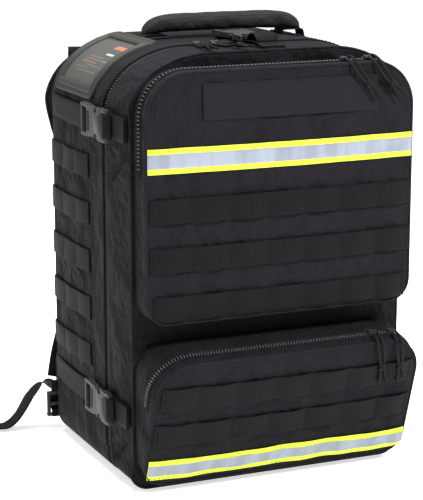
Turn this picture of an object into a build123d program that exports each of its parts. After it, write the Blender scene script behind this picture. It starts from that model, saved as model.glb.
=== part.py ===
from build123d import *
import math
import os

# A first responder's backpack: a rear shell and a front door joined by the main zipper, two outside
# pockets with zipped lids, webbing rows, compression straps with side-release buckles, a grab handle
# and shoulder straps. +Z is up and the front faces -Y. The origin is on the floor, under the shell.
# Each piece is a separate solid. Lengths are in millimetres.

# Pack
PACK_WIDTH = 322.0
PACK_HEIGHT = 460.0
TOP_RADIUS = 64.0
BASE_RADIUS = 22.0
BACK_Y = 118.0                  # back panel, against the wearer
SEAM_Y = -52.0                  # main zipper
DOOR_Y = -114.0                 # front of the door, where the pockets are sewn on
DOOR_LIFT = 1.0                 # the door hangs this far off the floor
WALL = 5.0                      # padded fabric
FABRIC = 3.0                    # pocket fabric
GAP = 0.3                       # clearance between pieces that move past each other
SEAM_HALF = 2.5                 # half the width of the main zipper
ZIP_START = 30.0                # height at which the main zipper starts
HALF_WIDTH = PACK_WIDTH / 2

# Webbing, 25 mm
WEB_WIDTH = 25.4
WEB_THICK = 1.6
FLAP_THICK = 1.5
STRAP_FACE = HALF_WIDTH + FLAP_THICK + 0.4      # inner face of the side straps
STRAP_TOP = PACK_HEIGHT + FLAP_THICK + 0.4      # underside of the top strap
UPPER_STRAP_Z = 384.0
LOWER_STRAP_Z = 79.0
SIDE_ROWS = 5
SIDE_ROW_TOP = 344.0
SIDE_ROW_PITCH = 52.5
FRONT_ROW_PITCH = 50.8

# Side-release buckles for 25 mm webbing
BUCKLE_WIDTH = 35.0
BUCKLE_THICK = 6.2
PLUG_REAR_Y = -4.0
PARTING_Y = -40.0
SOCKET_FRONT_Y = -76.0
PRONG_REACH = 15.0
PRONG_THICK = 3.0
PRONG_WIDTH = 5.0
PRONG_SPREAD = 10.0
TOP_BUCKLE_X = 6.0
TOP_BUCKLE_SHIFT = 14.0         # the top buckle sits this much further back

# Pockets. Each one is drawn on its front face: X across, Y up the face, Z outwards.
POCKET_A_WIDTH = 306.0
POCKET_A_LOW = 185.0
POCKET_A_HEIGHT = 261.0
POCKET_A_FRONT = -146.0
POCKET_A_RADIUS = 48.0
POCKET_A_FOLD = 156.5           # height up the face at which the lid folds
POCKET_B_WIDTH = 308.0
POCKET_B_LOW = 8.0
POCKET_B_HEIGHT = 149.0
POCKET_B_FRONT = -132.0         # at the pocket's lower edge; the face leans out above it
POCKET_B_RADIUS = 42.0
POCKET_B_FOLD = 88.0
POCKET_B_LEAN = 17.6
POCKET_B_TOP = 152.0
POCKET_BASE_RADIUS = 24.0
POCKET_BACK = DOOR_Y - 0.3
TRIM = 1.6                      # thickness of tapes and webbing sewn on a pocket
LID_LIP = 14.0                  # how far the lid's edge reaches back
ZIP_WIDTH = 5.0
ZIP_THICK = 2.4
SLIDER_LENGTH = 10.0
SLIDER_WIDTH = 8.0
SLIDER_THICK = 3.5
BAIL_THICK = 1.4

# Pull cords
CORD_DIAMETER = 2.8
KNOT_DIAMETER = 8.4
KNOT_REACH = 41.0               # from the slider to the knot's middle
CORD_LIFT = 6.3                 # cord centre above the face it lies on

# Handle, shoulder straps and their adjusters
HANDLE_X = 13.0
HANDLE_HALF = 95.0
HANDLE_Y = 40.0
HANDLE_Z = 478.0
HANDLE_PIVOT_Z = 465.3
PAD_THICK = 14.0
STRAP_THICK = 14.0
STRAP_WIDTH = 68.0
STRAP_X = 110.0
STRAP_Z = 432.0
WEBBING_X = 48.6                # where the lower webbing's line would meet the strap's top
WEBBING_SPLAY = 15.3


def save(piece, name):
    piece.part.label = name
    export_step(piece.part, "parts/" + name + ".step")


def front_plane(y):
    """A plane at this depth that faces forwards, with X across and Y up."""
    return Plane.XZ.offset(-y)


def lid_plane(y, low, lean):
    """The front face of a pocket, leaning out at the top by an angle."""
    tilt = math.radians(lean)
    return Plane(origin=(0, y, low), x_dir=(1, 0, 0), z_dir=(0, -math.cos(tilt), -math.sin(tilt)))


def panel(plane, width, low, high, low_radius, high_radius, middle=0.0):
    """A rounded rectangle with one radius at its lower corners and one at its upper corners."""
    left, right = middle - width / 2, middle + width / 2
    with BuildSketch(plane) as outline:
        with BuildLine():
            FilletPolyline(
                (left, low), (right, low), (right, high), (left, high),
                radius=(low_radius, low_radius, high_radius, high_radius), close=True)
        make_face()
    return outline.sketch


def inset_panel(plane, width, low, high, low_radius, high_radius, inset):
    """The same rounded rectangle, drawn in by an inset."""
    return panel(plane, width - 2 * inset, low + inset, high - inset,
                 max(low_radius - inset, 1.0), max(high_radius - inset, 1.0))


def pack_panel(y, inset, low=0.0):
    """The pack's outline at a depth, drawn in by an inset, or out by a negative one."""
    return inset_panel(front_plane(y), PACK_WIDTH, low, PACK_HEIGHT, BASE_RADIUS, TOP_RADIUS, inset)


def radii(points):
    """The largest even arcs for a route: 0.45 of the shorter run over the tangent of half the turn."""
    spots = [Vector(*point) for point in points]
    found = []
    for before, here, after in zip(spots, spots[1:], spots[2:]):
        run_in, run_out = here - before, after - here
        turn = math.radians(run_in.get_angle(run_out))
        found.append(0.45 * min(run_in.length, run_out.length) / math.tan(turn / 2))
    return found


def make_main_shell():
    with BuildPart() as shell:
        extrude(pack_panel(BACK_Y, 0), amount=BACK_Y - SEAM_Y - SEAM_HALF)
        extrude(pack_panel(BACK_Y - WALL, WALL), amount=BACK_Y - SEAM_Y, mode=Mode.SUBTRACT)
    save(shell, "main_shell")


def make_door_shell():
    rear = SEAM_Y - SEAM_HALF
    with BuildPart() as door:
        extrude(pack_panel(rear, 0, DOOR_LIFT), amount=rear - DOOR_Y)
        extrude(pack_panel(rear, WALL, DOOR_LIFT), amount=rear - DOOR_Y - WALL, mode=Mode.SUBTRACT)
    save(door, "door_shell")


def make_seam_band(name, y_rear, y_front, outer_inset, inner_inset):
    """A band that follows the pack's outline up one side, over the top and down the other."""
    with BuildPart() as band:
        extrude(pack_panel(y_rear, outer_inset), amount=y_rear - y_front)
        extrude(pack_panel(y_rear, inner_inset), amount=y_rear - y_front, mode=Mode.SUBTRACT)
        split(bisect_by=Plane.XY.offset(ZIP_START), keep=Keep.TOP)
    save(band, name)


def make_frame_sheet():
    thick = 1.6
    margin = 16.0
    with BuildPart() as sheet:
        extrude(pack_panel(BACK_Y - WALL - GAP, WALL + margin), amount=thick)
    save(sheet, "frame_sheet")


def make_back_pads():
    pad_width, pad_low, pad_high, pad_x = 118.0, 40.0, 396.0, 72.0
    with BuildPart() as pads:
        for side in (-1, 1):
            extrude(panel(front_plane(BACK_Y + GAP), pad_width, pad_low, pad_high, 24, 24, side * pad_x),
                    amount=-PAD_THICK)
        fillet(pads.faces().sort_by(Axis.Y)[-2:].edges(), radius=5)
    save(pads, "back_pads")


def make_yoke():
    """The sewn band that the shoulder straps hang from."""
    thick, low, high, length = 3.6, 418.0, 446.0, 280.0
    with BuildPart() as yoke:
        extrude(panel(front_plane(BACK_Y + GAP), length, low, high, 4, 12), amount=-thick)
    save(yoke, "shoulder_yoke")


def strap_plane(side, x, splay=0.0):
    """Looks across the strap's width: X runs away from the back and Y runs up the strap."""
    angle = math.radians(splay)
    return Plane(origin=(side * x, 0, STRAP_Z), x_dir=(0, 1, 0),
                 z_dir=(math.cos(angle), 0, side * math.sin(angle)))


def make_shoulder_strap(side, name):
    """A padded strap with an S curve: its thickness is drawn from the side and its width from behind."""
    route = [(123.5, 0), (148, -2), (172, -34), (172, -80), (156, -150), (145, -236)]
    lane = [(90, 452), (117, 385), (103, 330), (96, 270), (102, 222), (114, 180)]
    reach = 70.0
    with BuildPart() as strap:
        with BuildSketch(strap_plane(side, STRAP_X)):
            with BuildLine():
                FilletPolyline(*route, radius=radii(route))
            trace(line_width=STRAP_THICK)
        extrude(amount=reach, both=True)
        with BuildSketch(front_plane(BACK_Y)):
            with BuildLine():
                FilletPolyline(*[(side * x, z) for x, z in lane], radius=radii(lane))
            trace(line_width=STRAP_WIDTH)
        extrude(amount=-reach, mode=Mode.INTERSECT)
    save(strap, "shoulder_strap_" + name)


def make_strap_webbing(side, name):
    """The narrow webbing that runs on from the padded strap to the ladder lock."""
    route = [(145, -250), (146, -300), (152, -357), (143, -391)]
    with BuildPart() as webbing:
        with BuildSketch(strap_plane(side, WEBBING_X, WEBBING_SPLAY)):
            with BuildLine():
                FilletPolyline(*route, radius=radii(route))
            trace(line_width=WEB_THICK)
        extrude(amount=WEB_WIDTH / 2, both=True)
    save(webbing, "strap_webbing_" + name)


def make_ladder_locks():
    """One ladder lock at each lower corner of the back, with two slots for the webbing."""
    width, low, high, thick, slot, slot_width = 34.0, 14.0, 44.0, 4.0, 6.0, 26.0
    middle = (low + high) / 2
    with BuildPart() as locks:
        for side in (-1, 1):
            centre = side * 154.0
            extrude(panel(front_plane(BACK_Y + 6.0), width, low, high, 3, 3, centre), amount=-thick)
            for offset in (-7.0, 7.0):
                low_edge = middle + offset - slot / 2
                opening = panel(front_plane(BACK_Y + 6.0), slot_width, low_edge, low_edge + slot,
                                1, 1, centre)
                extrude(opening, amount=-thick, mode=Mode.SUBTRACT)
    save(locks, "ladder_locks")


def make_anchor_tabs():
    """Triangular tabs sewn into the lower side seams, with an eye, which hold the ladder locks."""
    thick, margin = 2.4, 8.0
    near, far = BACK_Y + GAP, BACK_Y + 21.0
    with BuildPart() as tabs:
        for side in (-1, 1):
            with BuildSketch(Plane.YZ.offset(side * (HALF_WIDTH - margin))):
                with BuildLine():
                    Polyline((near, 114), (far, 76), (far, 54), (near, 46.5), close=True)
                make_face()
                with Locations((near + 8.0, 88)):
                    RectangleRounded(5, 12, 2, mode=Mode.SUBTRACT)
            extrude(amount=side * thick)
    save(tabs, "anchor_tabs")


def make_strap_tails():
    """The loose ends of the webbing, which hang from the ladder locks to the floor."""
    near, far = BACK_Y + 11.0, BACK_Y + 34.0
    route = [(160, 46), (172, 53), (186, 38), (203, 13), (216, 2.6), (228, 1.6)]
    with BuildPart() as tails:
        with BuildSketch(front_plane(far)):
            with BuildLine():
                FilletPolyline(*route, radius=radii(route))
            trace(line_width=WEB_THICK)
        extrude(amount=far - near)
        mirror(about=Plane.YZ)
    save(tails, "strap_tails")


def make_side_webbing():
    rear, front = BACK_Y - 2.0, -3.0
    length = rear - front
    middle = (rear + front) / 2
    with BuildPart() as rows:
        for row in range(SIDE_ROWS):
            height = SIDE_ROW_TOP - row * SIDE_ROW_PITCH - WEB_WIDTH / 2
            with Locations((HALF_WIDTH + GAP / 2 + WEB_THICK / 2, middle, height)):
                Box(WEB_THICK, length, WEB_WIDTH)
        mirror(about=Plane.YZ)
    save(rows, "side_webbing")


def make_compression_straps():
    """Four straps, from the back seam to under each plug."""
    rear, front = BACK_Y - 4.0, PARTING_Y + 14.0
    with BuildPart() as straps:
        for height in (UPPER_STRAP_Z, LOWER_STRAP_Z):
            with Locations((STRAP_FACE + WEB_THICK / 2, (rear + front) / 2, height)):
                Box(WEB_THICK, rear - front, WEB_WIDTH)
        mirror(about=Plane.YZ)
    save(straps, "compression_straps")


def make_side_stubs():
    """Short doubled webbing that holds each socket to the door."""
    rear, front = SOCKET_FRONT_Y + 12.0, DOOR_Y + 3.0
    inner, outer = HALF_WIDTH + GAP / 2, STRAP_FACE + WEB_THICK
    with BuildPart() as stubs:
        for height in (UPPER_STRAP_Z, LOWER_STRAP_Z):
            with Locations(((inner + outer) / 2, (rear + front) / 2, height)):
                Box(outer - inner, rear - front, WEB_WIDTH)
        mirror(about=Plane.YZ)
    save(stubs, "side_stubs")


def buckle_plug(plane):
    """The plug of a side-release buckle. X runs towards the socket, Y across and Z outwards."""
    ladder = PLUG_REAR_Y - PARTING_Y
    with BuildPart() as plug:
        with BuildSketch(plane):
            with Locations((-ladder / 2, 0)):
                RectangleRounded(ladder, BUCKLE_WIDTH, 4)
            with Locations((-ladder + 6.5, 0), (-ladder + 15.5, 0)):
                RectangleRounded(5, BUCKLE_WIDTH - 8, 1, mode=Mode.SUBTRACT)
        extrude(amount=BUCKLE_THICK)
        with BuildSketch(plane.offset((BUCKLE_THICK - PRONG_THICK) / 2)):
            with Locations((PRONG_REACH / 2 - 1, PRONG_SPREAD), (PRONG_REACH / 2 - 1, -PRONG_SPREAD)):
                Rectangle(PRONG_REACH + 2, PRONG_WIDTH)
        extrude(amount=PRONG_THICK)
    return plug


def buckle_socket(plane):
    """The socket, open towards the plug, with a bar for its webbing at the other end."""
    length = PARTING_Y - SOCKET_FRONT_Y - GAP
    cavity = PRONG_REACH + 4.0
    with BuildPart() as socket:
        with BuildSketch(plane):
            with Locations((GAP + length / 2, 0)):
                RectangleRounded(length, BUCKLE_WIDTH, 4)
            with Locations((GAP + length - 6.5, 0)):
                RectangleRounded(6, BUCKLE_WIDTH - 8, 1, mode=Mode.SUBTRACT)
        extrude(amount=BUCKLE_THICK)
        with BuildSketch(plane.offset((BUCKLE_THICK - PRONG_THICK) / 2 - GAP)):
            with Locations((GAP + cavity / 2 - 1, PRONG_SPREAD), (GAP + cavity / 2 - 1, -PRONG_SPREAD)):
                Rectangle(cavity + 2, PRONG_WIDTH + 4 * GAP)
        extrude(amount=PRONG_THICK + 2 * GAP, mode=Mode.SUBTRACT)
    return socket


def side_buckle_plane(side, height):
    """On the outside of a side strap, with X running forwards."""
    return Plane(origin=(side * (STRAP_FACE + WEB_THICK + GAP), PARTING_Y, height),
                 x_dir=(0, -1, 0), z_dir=(side, 0, 0))


def top_buckle_plane():
    return Plane(origin=(TOP_BUCKLE_X, PARTING_Y + TOP_BUCKLE_SHIFT, STRAP_TOP + WEB_THICK + GAP),
                 x_dir=(0, -1, 0), z_dir=(0, 0, 1))


def make_buckles():
    for side, side_name in ((-1, "left"), (1, "right")):
        for height, level in ((UPPER_STRAP_Z, "upper"), (LOWER_STRAP_Z, "lower")):
            save(buckle_plug(side_buckle_plane(side, height)), "buckle_plug_" + level + "_" + side_name)
    save(buckle_plug(top_buckle_plane()), "buckle_plug_top")
    save(buckle_socket(top_buckle_plane()), "buckle_socket_top")
    with BuildPart() as sockets:
        for side in (-1, 1):
            for height in (UPPER_STRAP_Z, LOWER_STRAP_Z):
                add(buckle_socket(side_buckle_plane(side, height)).part)
    save(sockets, "side_buckle_sockets")


def make_top_strap():
    rear, front = HANDLE_Y - 22.0, PARTING_Y + TOP_BUCKLE_SHIFT + 14.0
    with BuildPart() as strap:
        with Locations((TOP_BUCKLE_X, (rear + front) / 2, STRAP_TOP + WEB_THICK / 2)):
            Box(WEB_WIDTH, rear - front, WEB_THICK)
    save(strap, "top_strap")


def make_top_stub():
    rear, front = SOCKET_FRONT_Y + TOP_BUCKLE_SHIFT + 12.0, DOOR_Y + 3.0
    low, high = PACK_HEIGHT + GAP / 2, STRAP_TOP + WEB_THICK
    clear = SEAM_Y - SEAM_HALF - GAP
    with BuildPart() as stub:
        with Locations((TOP_BUCKLE_X, (rear + front) / 2, STRAP_TOP + WEB_THICK / 2)):
            Box(WEB_WIDTH, rear - front, WEB_THICK)
        with Locations((TOP_BUCKLE_X, (clear + front) / 2, (low + high) / 2)):
            Box(WEB_WIDTH, clear - front, high - low)
    save(stub, "top_stub")


def window_arc(inner, outer, rear, front, start, end):
    """A curved slab round the upper left corner of the pack, between two radii and two angles."""
    corner = Plane(origin=(-HALF_WIDTH + TOP_RADIUS, rear, PACK_HEIGHT - TOP_RADIUS),
                   x_dir=(1, 0, 0), z_dir=(0, -1, 0))
    with BuildPart() as slab:
        with BuildSketch(corner):
            Circle(outer)
            Circle(inner, mode=Mode.SUBTRACT)
            with BuildLine():
                Polyline((0, 0), polar(2 * outer, start), polar(2 * outer, (start + end) / 2),
                         polar(2 * outer, end), close=True)
            make_face(mode=Mode.INTERSECT)
        extrude(amount=rear - front)
    return slab


def polar(radius, degrees):
    return (radius * math.cos(math.radians(degrees)), radius * math.sin(math.radians(degrees)))


def make_id_window():
    """A curved frame on the upper left corner, a clear film in it, and a card that slides out behind."""
    rear, front, border = 101.0, -16.0, 13.0
    start, end, trim = 100.0, 172.0, 11.0
    skin = TOP_RADIUS + GAP / 2
    with BuildPart() as frame:
        add(window_arc(skin + 1.4, skin + 3.6, rear, front, start, end).part)
        add(window_arc(skin + 1.0, skin + 4.0, rear - border, front + border, start + trim, end - trim).part,
            mode=Mode.SUBTRACT)
    save(frame, "id_window_frame")
    with BuildPart() as film:
        add(window_arc(skin + 1.7, skin + 2.3, rear - border - GAP, front + border + GAP,
                       start + trim + 0.4, end - trim - 0.4).part)
    save(film, "id_window_film")
    with BuildPart() as card:
        add(window_arc(skin + 0.3, skin + 1.1, rear - 2.0, front + 4.0, start + 4.0, end - 4.0).part)
    save(card, "id_card")


def make_grab_handle():
    """A padded bar on two feet, carried across the top near the back."""
    bar_height, bar_depth, foot, foot_depth = 13.0, 30.0, 20.0, 6.0
    foot_low = HANDLE_PIVOT_Z
    foot_high = HANDLE_Z - bar_height / 2 + 2.0
    with BuildPart() as handle:
        with BuildSketch(Plane.YZ.offset(HANDLE_X - HANDLE_HALF)):
            with Locations((HANDLE_Y, HANDLE_Z)):
                RectangleRounded(bar_depth, bar_height, 6)
        extrude(amount=2 * HANDLE_HALF)
        for end in (-1, 1):
            foot_x = HANDLE_X + end * (HANDLE_HALF - foot / 2)
            with Locations((foot_x, HANDLE_Y, (foot_low + foot_high) / 2)):
                Box(foot, foot_depth, foot_high - foot_low)
    save(handle, "grab_handle")
    with BuildPart() as anchors:
        for end in (-1, 1):
            with Locations((HANDLE_X + end * (HANDLE_HALF - foot / 2), HANDLE_Y, PACK_HEIGHT + GAP + 1.8)):
                Box(foot + 14, bar_depth + 6, 3.2)
    save(anchors, "handle_anchors")


class Pocket:
    """The measures of one outside pocket, drawn on its own front face."""

    def __init__(self, key, plane, width, height, radius, fold, back_cut, top_cut):
        self.key = key
        self.plane = plane
        self.width = width
        self.height = height
        self.radius = radius
        self.fold = fold
        self.back_cut = back_cut
        self.top_cut = top_cut

    def outline(self, offset, inset):
        return inset_panel(self.plane.offset(offset), self.width, 0, self.height,
                           POCKET_BASE_RADIUS, self.radius, inset)

    def band(self, offset, low, high, width, middle=0.0):
        return panel(self.plane.offset(offset), width, low, high, 1, 1, middle)


POCKET_A = Pocket("a", lid_plane(POCKET_A_FRONT, POCKET_A_LOW, 0.0), POCKET_A_WIDTH, POCKET_A_HEIGHT,
                  POCKET_A_RADIUS, POCKET_A_FOLD, POCKET_BACK, POCKET_A_LOW + POCKET_A_HEIGHT + 1)
POCKET_B = Pocket("b", lid_plane(POCKET_B_FRONT, POCKET_B_LOW, POCKET_B_LEAN), POCKET_B_WIDTH,
                  POCKET_B_HEIGHT, POCKET_B_RADIUS, POCKET_B_FOLD, POCKET_BACK, POCKET_B_TOP)


def make_pocket_box(pocket):
    """The gusset and the lower front panel, open above the fold and open at the back."""
    deep = 90.0
    cut = LID_LIP + ZIP_WIDTH + 3 * GAP
    with BuildPart() as box:
        extrude(pocket.outline(0, 0), amount=-deep)
        extrude(pocket.outline(-FABRIC, FABRIC), amount=-deep, mode=Mode.SUBTRACT)
        extrude(pocket.band(1, pocket.fold - 1.0, pocket.height + 1, pocket.width + 2),
                amount=-cut - 1, mode=Mode.SUBTRACT)
        split(bisect_by=front_plane(pocket.back_cut), keep=Keep.TOP)
        split(bisect_by=Plane.XY.offset(pocket.top_cut), keep=Keep.BOTTOM)
    save(box, "pocket_" + pocket.key + "_box")


def make_pocket_lid(pocket):
    """The upper front panel and the front strip of the gusset, a shallow tray open at the back."""
    with BuildPart() as lid:
        extrude(pocket.outline(0, 0), amount=-LID_LIP)
        extrude(pocket.outline(-FABRIC, FABRIC), amount=-LID_LIP, mode=Mode.SUBTRACT)
        extrude(pocket.band(1, -1, pocket.fold + 1.0, pocket.width + 2), amount=-LID_LIP - 2,
                mode=Mode.SUBTRACT)
    save(lid, "pocket_" + pocket.key + "_lid")


def make_pocket_zip(pocket):
    """The zipper's teeth behind the lid's lip, along its two sides and top."""
    start = -LID_LIP - GAP
    with BuildPart() as teeth:
        extrude(pocket.outline(start, 0), amount=-ZIP_WIDTH)
        extrude(pocket.outline(start, ZIP_THICK), amount=-ZIP_WIDTH, mode=Mode.SUBTRACT)
        extrude(pocket.band(start + 1, -1, pocket.fold + 2.0, pocket.width + 2), amount=-ZIP_WIDTH - 2,
                mode=Mode.SUBTRACT)
    save(teeth, "pocket_" + pocket.key + "_zip")


def make_band(pocket, name, low, high, width, lift=GAP / 2, thick=TRIM, middle=0.0):
    """A flat band sewn across the pocket's front."""
    with BuildPart() as strip:
        extrude(pocket.band(lift, low, high, width, middle), amount=thick)
    save(strip, name)


def make_slider(spot, name):
    """A zipper slider and its bail, on a plane whose X runs along the zipper."""
    with BuildPart() as slider:
        with BuildSketch(spot.offset(GAP)):
            RectangleRounded(SLIDER_LENGTH, SLIDER_WIDTH, 2.5)
        extrude(amount=SLIDER_THICK)
        with BuildSketch(spot.offset(GAP + SLIDER_THICK - 0.2)):
            RectangleRounded(3, SLIDER_WIDTH - 2, 1)
        extrude(amount=BAIL_THICK)
    save(slider, name)


def make_pull(place, name):
    """A cord looped through a slider: two strands to a knot, and the two ends below it.

    place turns a distance along the pull and a distance to one side of it into a point, so it says
    how the pull lies.
    """
    steps = [(0.0, 2.4), (11.0, 2.6), (24.0, 3.4), (36.0, 1.8), (48.0, 2.2), (60.0, 4.6)]
    with BuildPart() as pull:
        for side in (-1, 1):
            route = [place(far, side * out) for far, out in steps]
            with BuildLine() as strand:
                FilletPolyline(*route, radius=radii(route))
            with BuildSketch(Plane(origin=strand.line @ 0, z_dir=strand.line % 0)):
                Circle(CORD_DIAMETER / 2)
            sweep(path=strand.line)
        middle = place(KNOT_REACH, 0.0)
        with BuildSketch(Plane(origin=middle, z_dir=place(KNOT_REACH + 1.0, 0.0) - middle)):
            RectangleRounded(KNOT_DIAMETER, KNOT_DIAMETER, KNOT_DIAMETER * 0.4)
        extrude(amount=KNOT_DIAMETER / 2, both=True)
    save(pull, name)


def lid_pull(pocket, x, y, out, lean):
    """Places a pull that starts on a lid's top edge, turns over it and hangs down its face.

    x and y are its start on the face, out is the direction in which it leaves the edge, and lean
    is its angle from straight down, towards +X.
    """
    angle = math.radians(lean)
    along = (math.sin(angle), -math.cos(angle))
    across = (math.cos(angle), math.sin(angle))

    def place(far, aside):
        spread = x + aside * across[0], y + aside * across[1]
        if far < 5.0:
            rise, depth, down = 4.6, -10.5, 0.0
        elif far < 15.0:
            rise, depth, down = 5.0, 1.5, 0.0
        else:
            rise, depth, down = 0.0, CORD_LIFT, far - 12.0
        spot = (spread[0] + rise * out[0] + down * along[0], spread[1] + rise * out[1] + down * along[1])
        return pocket.plane.from_local_coords((spot[0], spot[1], depth))

    return place


def top_pull(x, lean):
    """Places a pull that lies forwards on the top of the pack."""
    angle = math.radians(lean)
    start = SLIDER_WIDTH / 2 + CORD_DIAMETER / 2 + 0.4

    def place(far, aside):
        forward = start + far * math.cos(angle) - aside * math.sin(angle)
        lift = 1.7 if far < 30.0 else 4.6
        return Vector(x + far * math.sin(angle) + aside * math.cos(angle), SEAM_Y - forward,
                      PACK_HEIGHT + lift)

    return place


def make_pocket_trim():
    """Tapes, webbing rows and the loop panel. Heights are measured up each pocket's own face."""
    tape_a, tape_b = (158.5, 184.5, POCKET_A_WIDTH - 2), (10.0, 34.0, POCKET_B_WIDTH - 6)
    strip_a, strip_b = (164.0, 179.0, tape_a[2] - 1), (15.5, 28.5, tape_b[2] - 1)
    rows_a, rows_a_width = (133.0, 133.0 - FRONT_ROW_PITCH, 133.0 - 2 * FRONT_ROW_PITCH), 300.0
    row_b_high, row_b_low = (98.0, 98.0 + WEB_WIDTH, 292.0), (54.0, 54.0 + WEB_WIDTH, 298.0)
    panel_low, panel_high, panel_width, panel_middle = 211.0, 248.0, 200.0, 8.0
    strip_lift, strip_thick = TRIM + GAP, 0.5
    make_band(POCKET_A, "hi_vis_tape_upper", *tape_a)
    make_band(POCKET_A, "reflective_strip_upper", *strip_a, strip_lift, strip_thick)
    make_band(POCKET_A, "loop_panel", panel_low, panel_high, panel_width, middle=panel_middle)
    with BuildPart() as rows:
        for high in rows_a:
            extrude(POCKET_A.band(GAP / 2, high - WEB_WIDTH, high, rows_a_width), amount=TRIM)
    save(rows, "pocket_a_webbing")
    make_band(POCKET_B, "pocket_b_webbing_upper", *row_b_high)
    make_band(POCKET_B, "pocket_b_webbing_lower", *row_b_low)
    make_band(POCKET_B, "hi_vis_tape_lower", *tape_b)
    make_band(POCKET_B, "reflective_strip_lower", *strip_b, strip_lift, strip_thick)


def make_pocket_sliders():
    """Two sliders at the top right of each lid; the right one stands on the corner's arc."""
    depth = -LID_LIP - GAP - ZIP_WIDTH / 2
    for pocket, left_x, turn, lean in ((POCKET_A, 77.0, 0.0, 40.0), (POCKET_B, 100.0, 14.0, 12.0)):
        corner_x = pocket.width / 2 - pocket.radius
        corner_y = pocket.height - pocket.radius
        tilt = math.radians(turn)
        out = (math.sin(tilt), math.cos(tilt))
        right = (corner_x + pocket.radius * out[0], corner_y + pocket.radius * out[1])
        for name, spot, way in (("left", (left_x, pocket.height), (0.0, 1.0)), ("right", right, out)):
            rise = pocket.plane.x_dir * way[0] + pocket.plane.y_dir * way[1]
            run = pocket.plane.x_dir * way[1] - pocket.plane.y_dir * way[0]
            seat = Plane(origin=pocket.plane.from_local_coords((spot[0], spot[1], depth)),
                         x_dir=run, z_dir=rise)
            make_slider(seat, "slider_" + pocket.key + "_" + name)
            make_pull(lid_pull(pocket, spot[0], spot[1], way, lean), "pull_cord_" + pocket.key + "_" + name)


def make_main_sliders():
    """Two sliders on the top of the main zipper, with their cords lying forwards."""
    for x, lean, name in ((-58.0, -8.0, "left"), (-38.0, 14.0, "right")):
        make_slider(Plane(origin=(x, SEAM_Y, PACK_HEIGHT), x_dir=(1, 0, 0), z_dir=(0, 0, 1)),
                    "slider_main_" + name)
        make_pull(top_pull(x, lean), "pull_cord_main_" + name)


def main():
    os.makedirs("parts", exist_ok=True)
    make_main_shell()
    make_door_shell()
    make_seam_band("main_zip_rear", SEAM_Y + SEAM_HALF - GAP, SEAM_Y + GAP / 2, 1.0, 4.0)
    make_seam_band("main_zip_front", SEAM_Y - GAP / 2, SEAM_Y - SEAM_HALF + GAP, 1.0, 4.0)
    make_seam_band("storm_flap", -19.0, -47.0, -GAP / 2 - FLAP_THICK, -GAP / 2)
    make_frame_sheet()
    make_back_pads()
    make_yoke()
    for side, name in ((-1, "left"), (1, "right")):
        make_shoulder_strap(side, name)
        make_strap_webbing(side, name)
    make_ladder_locks()
    make_anchor_tabs()
    make_strap_tails()
    make_side_webbing()
    make_compression_straps()
    make_side_stubs()
    make_buckles()
    make_top_strap()
    make_top_stub()
    make_id_window()
    make_grab_handle()
    for pocket in (POCKET_A, POCKET_B):
        make_pocket_box(pocket)
        make_pocket_lid(pocket)
        make_pocket_zip(pocket)
    make_pocket_trim()
    make_pocket_sliders()
    make_main_sliders()


main()
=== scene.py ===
import math

import bmesh
import bpy
from mathutils import Matrix, Vector, noise
from mathutils.bvhtree import BVHTree


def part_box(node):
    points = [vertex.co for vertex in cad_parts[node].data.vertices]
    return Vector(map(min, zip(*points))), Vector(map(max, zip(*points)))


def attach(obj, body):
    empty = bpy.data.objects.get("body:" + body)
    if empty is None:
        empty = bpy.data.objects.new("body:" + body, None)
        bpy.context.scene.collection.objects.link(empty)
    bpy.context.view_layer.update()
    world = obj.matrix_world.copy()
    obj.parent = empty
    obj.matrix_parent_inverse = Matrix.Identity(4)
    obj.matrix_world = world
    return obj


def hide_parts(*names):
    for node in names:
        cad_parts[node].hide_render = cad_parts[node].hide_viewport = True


# A first responder's backpack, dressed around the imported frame. Metres; the front faces -Y.

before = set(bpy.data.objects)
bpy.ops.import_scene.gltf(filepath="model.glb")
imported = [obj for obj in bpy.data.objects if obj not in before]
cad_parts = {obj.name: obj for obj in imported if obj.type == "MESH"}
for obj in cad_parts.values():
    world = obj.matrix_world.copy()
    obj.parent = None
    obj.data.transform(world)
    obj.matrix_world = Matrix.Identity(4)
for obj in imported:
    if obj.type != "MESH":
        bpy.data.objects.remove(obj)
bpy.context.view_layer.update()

MM = 0.001

# ------------------------------ measures from the frame
shell_low, shell_high = (Vector(corner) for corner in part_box("main_shell"))
door_low, door_high = (Vector(corner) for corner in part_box("door_shell"))
HALF = shell_high.x
TOP = shell_high.z
BACK_Y = shell_high.y
SEAM_Y = (shell_low.y + door_high.y) / 2
DOOR_Y = door_low.y
BASE_RADIUS = 22 * MM
EDGE = 4 * MM
WEB = 25.4 * MM
WEB_THICK = 1.5 * MM
RAY = 60 * MM                    # how far out rays start that look for a skin
TACK_SIZE = (2.6 * MM, 0.9 * MM)
TACK_STEP = 4.4 * MM


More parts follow.
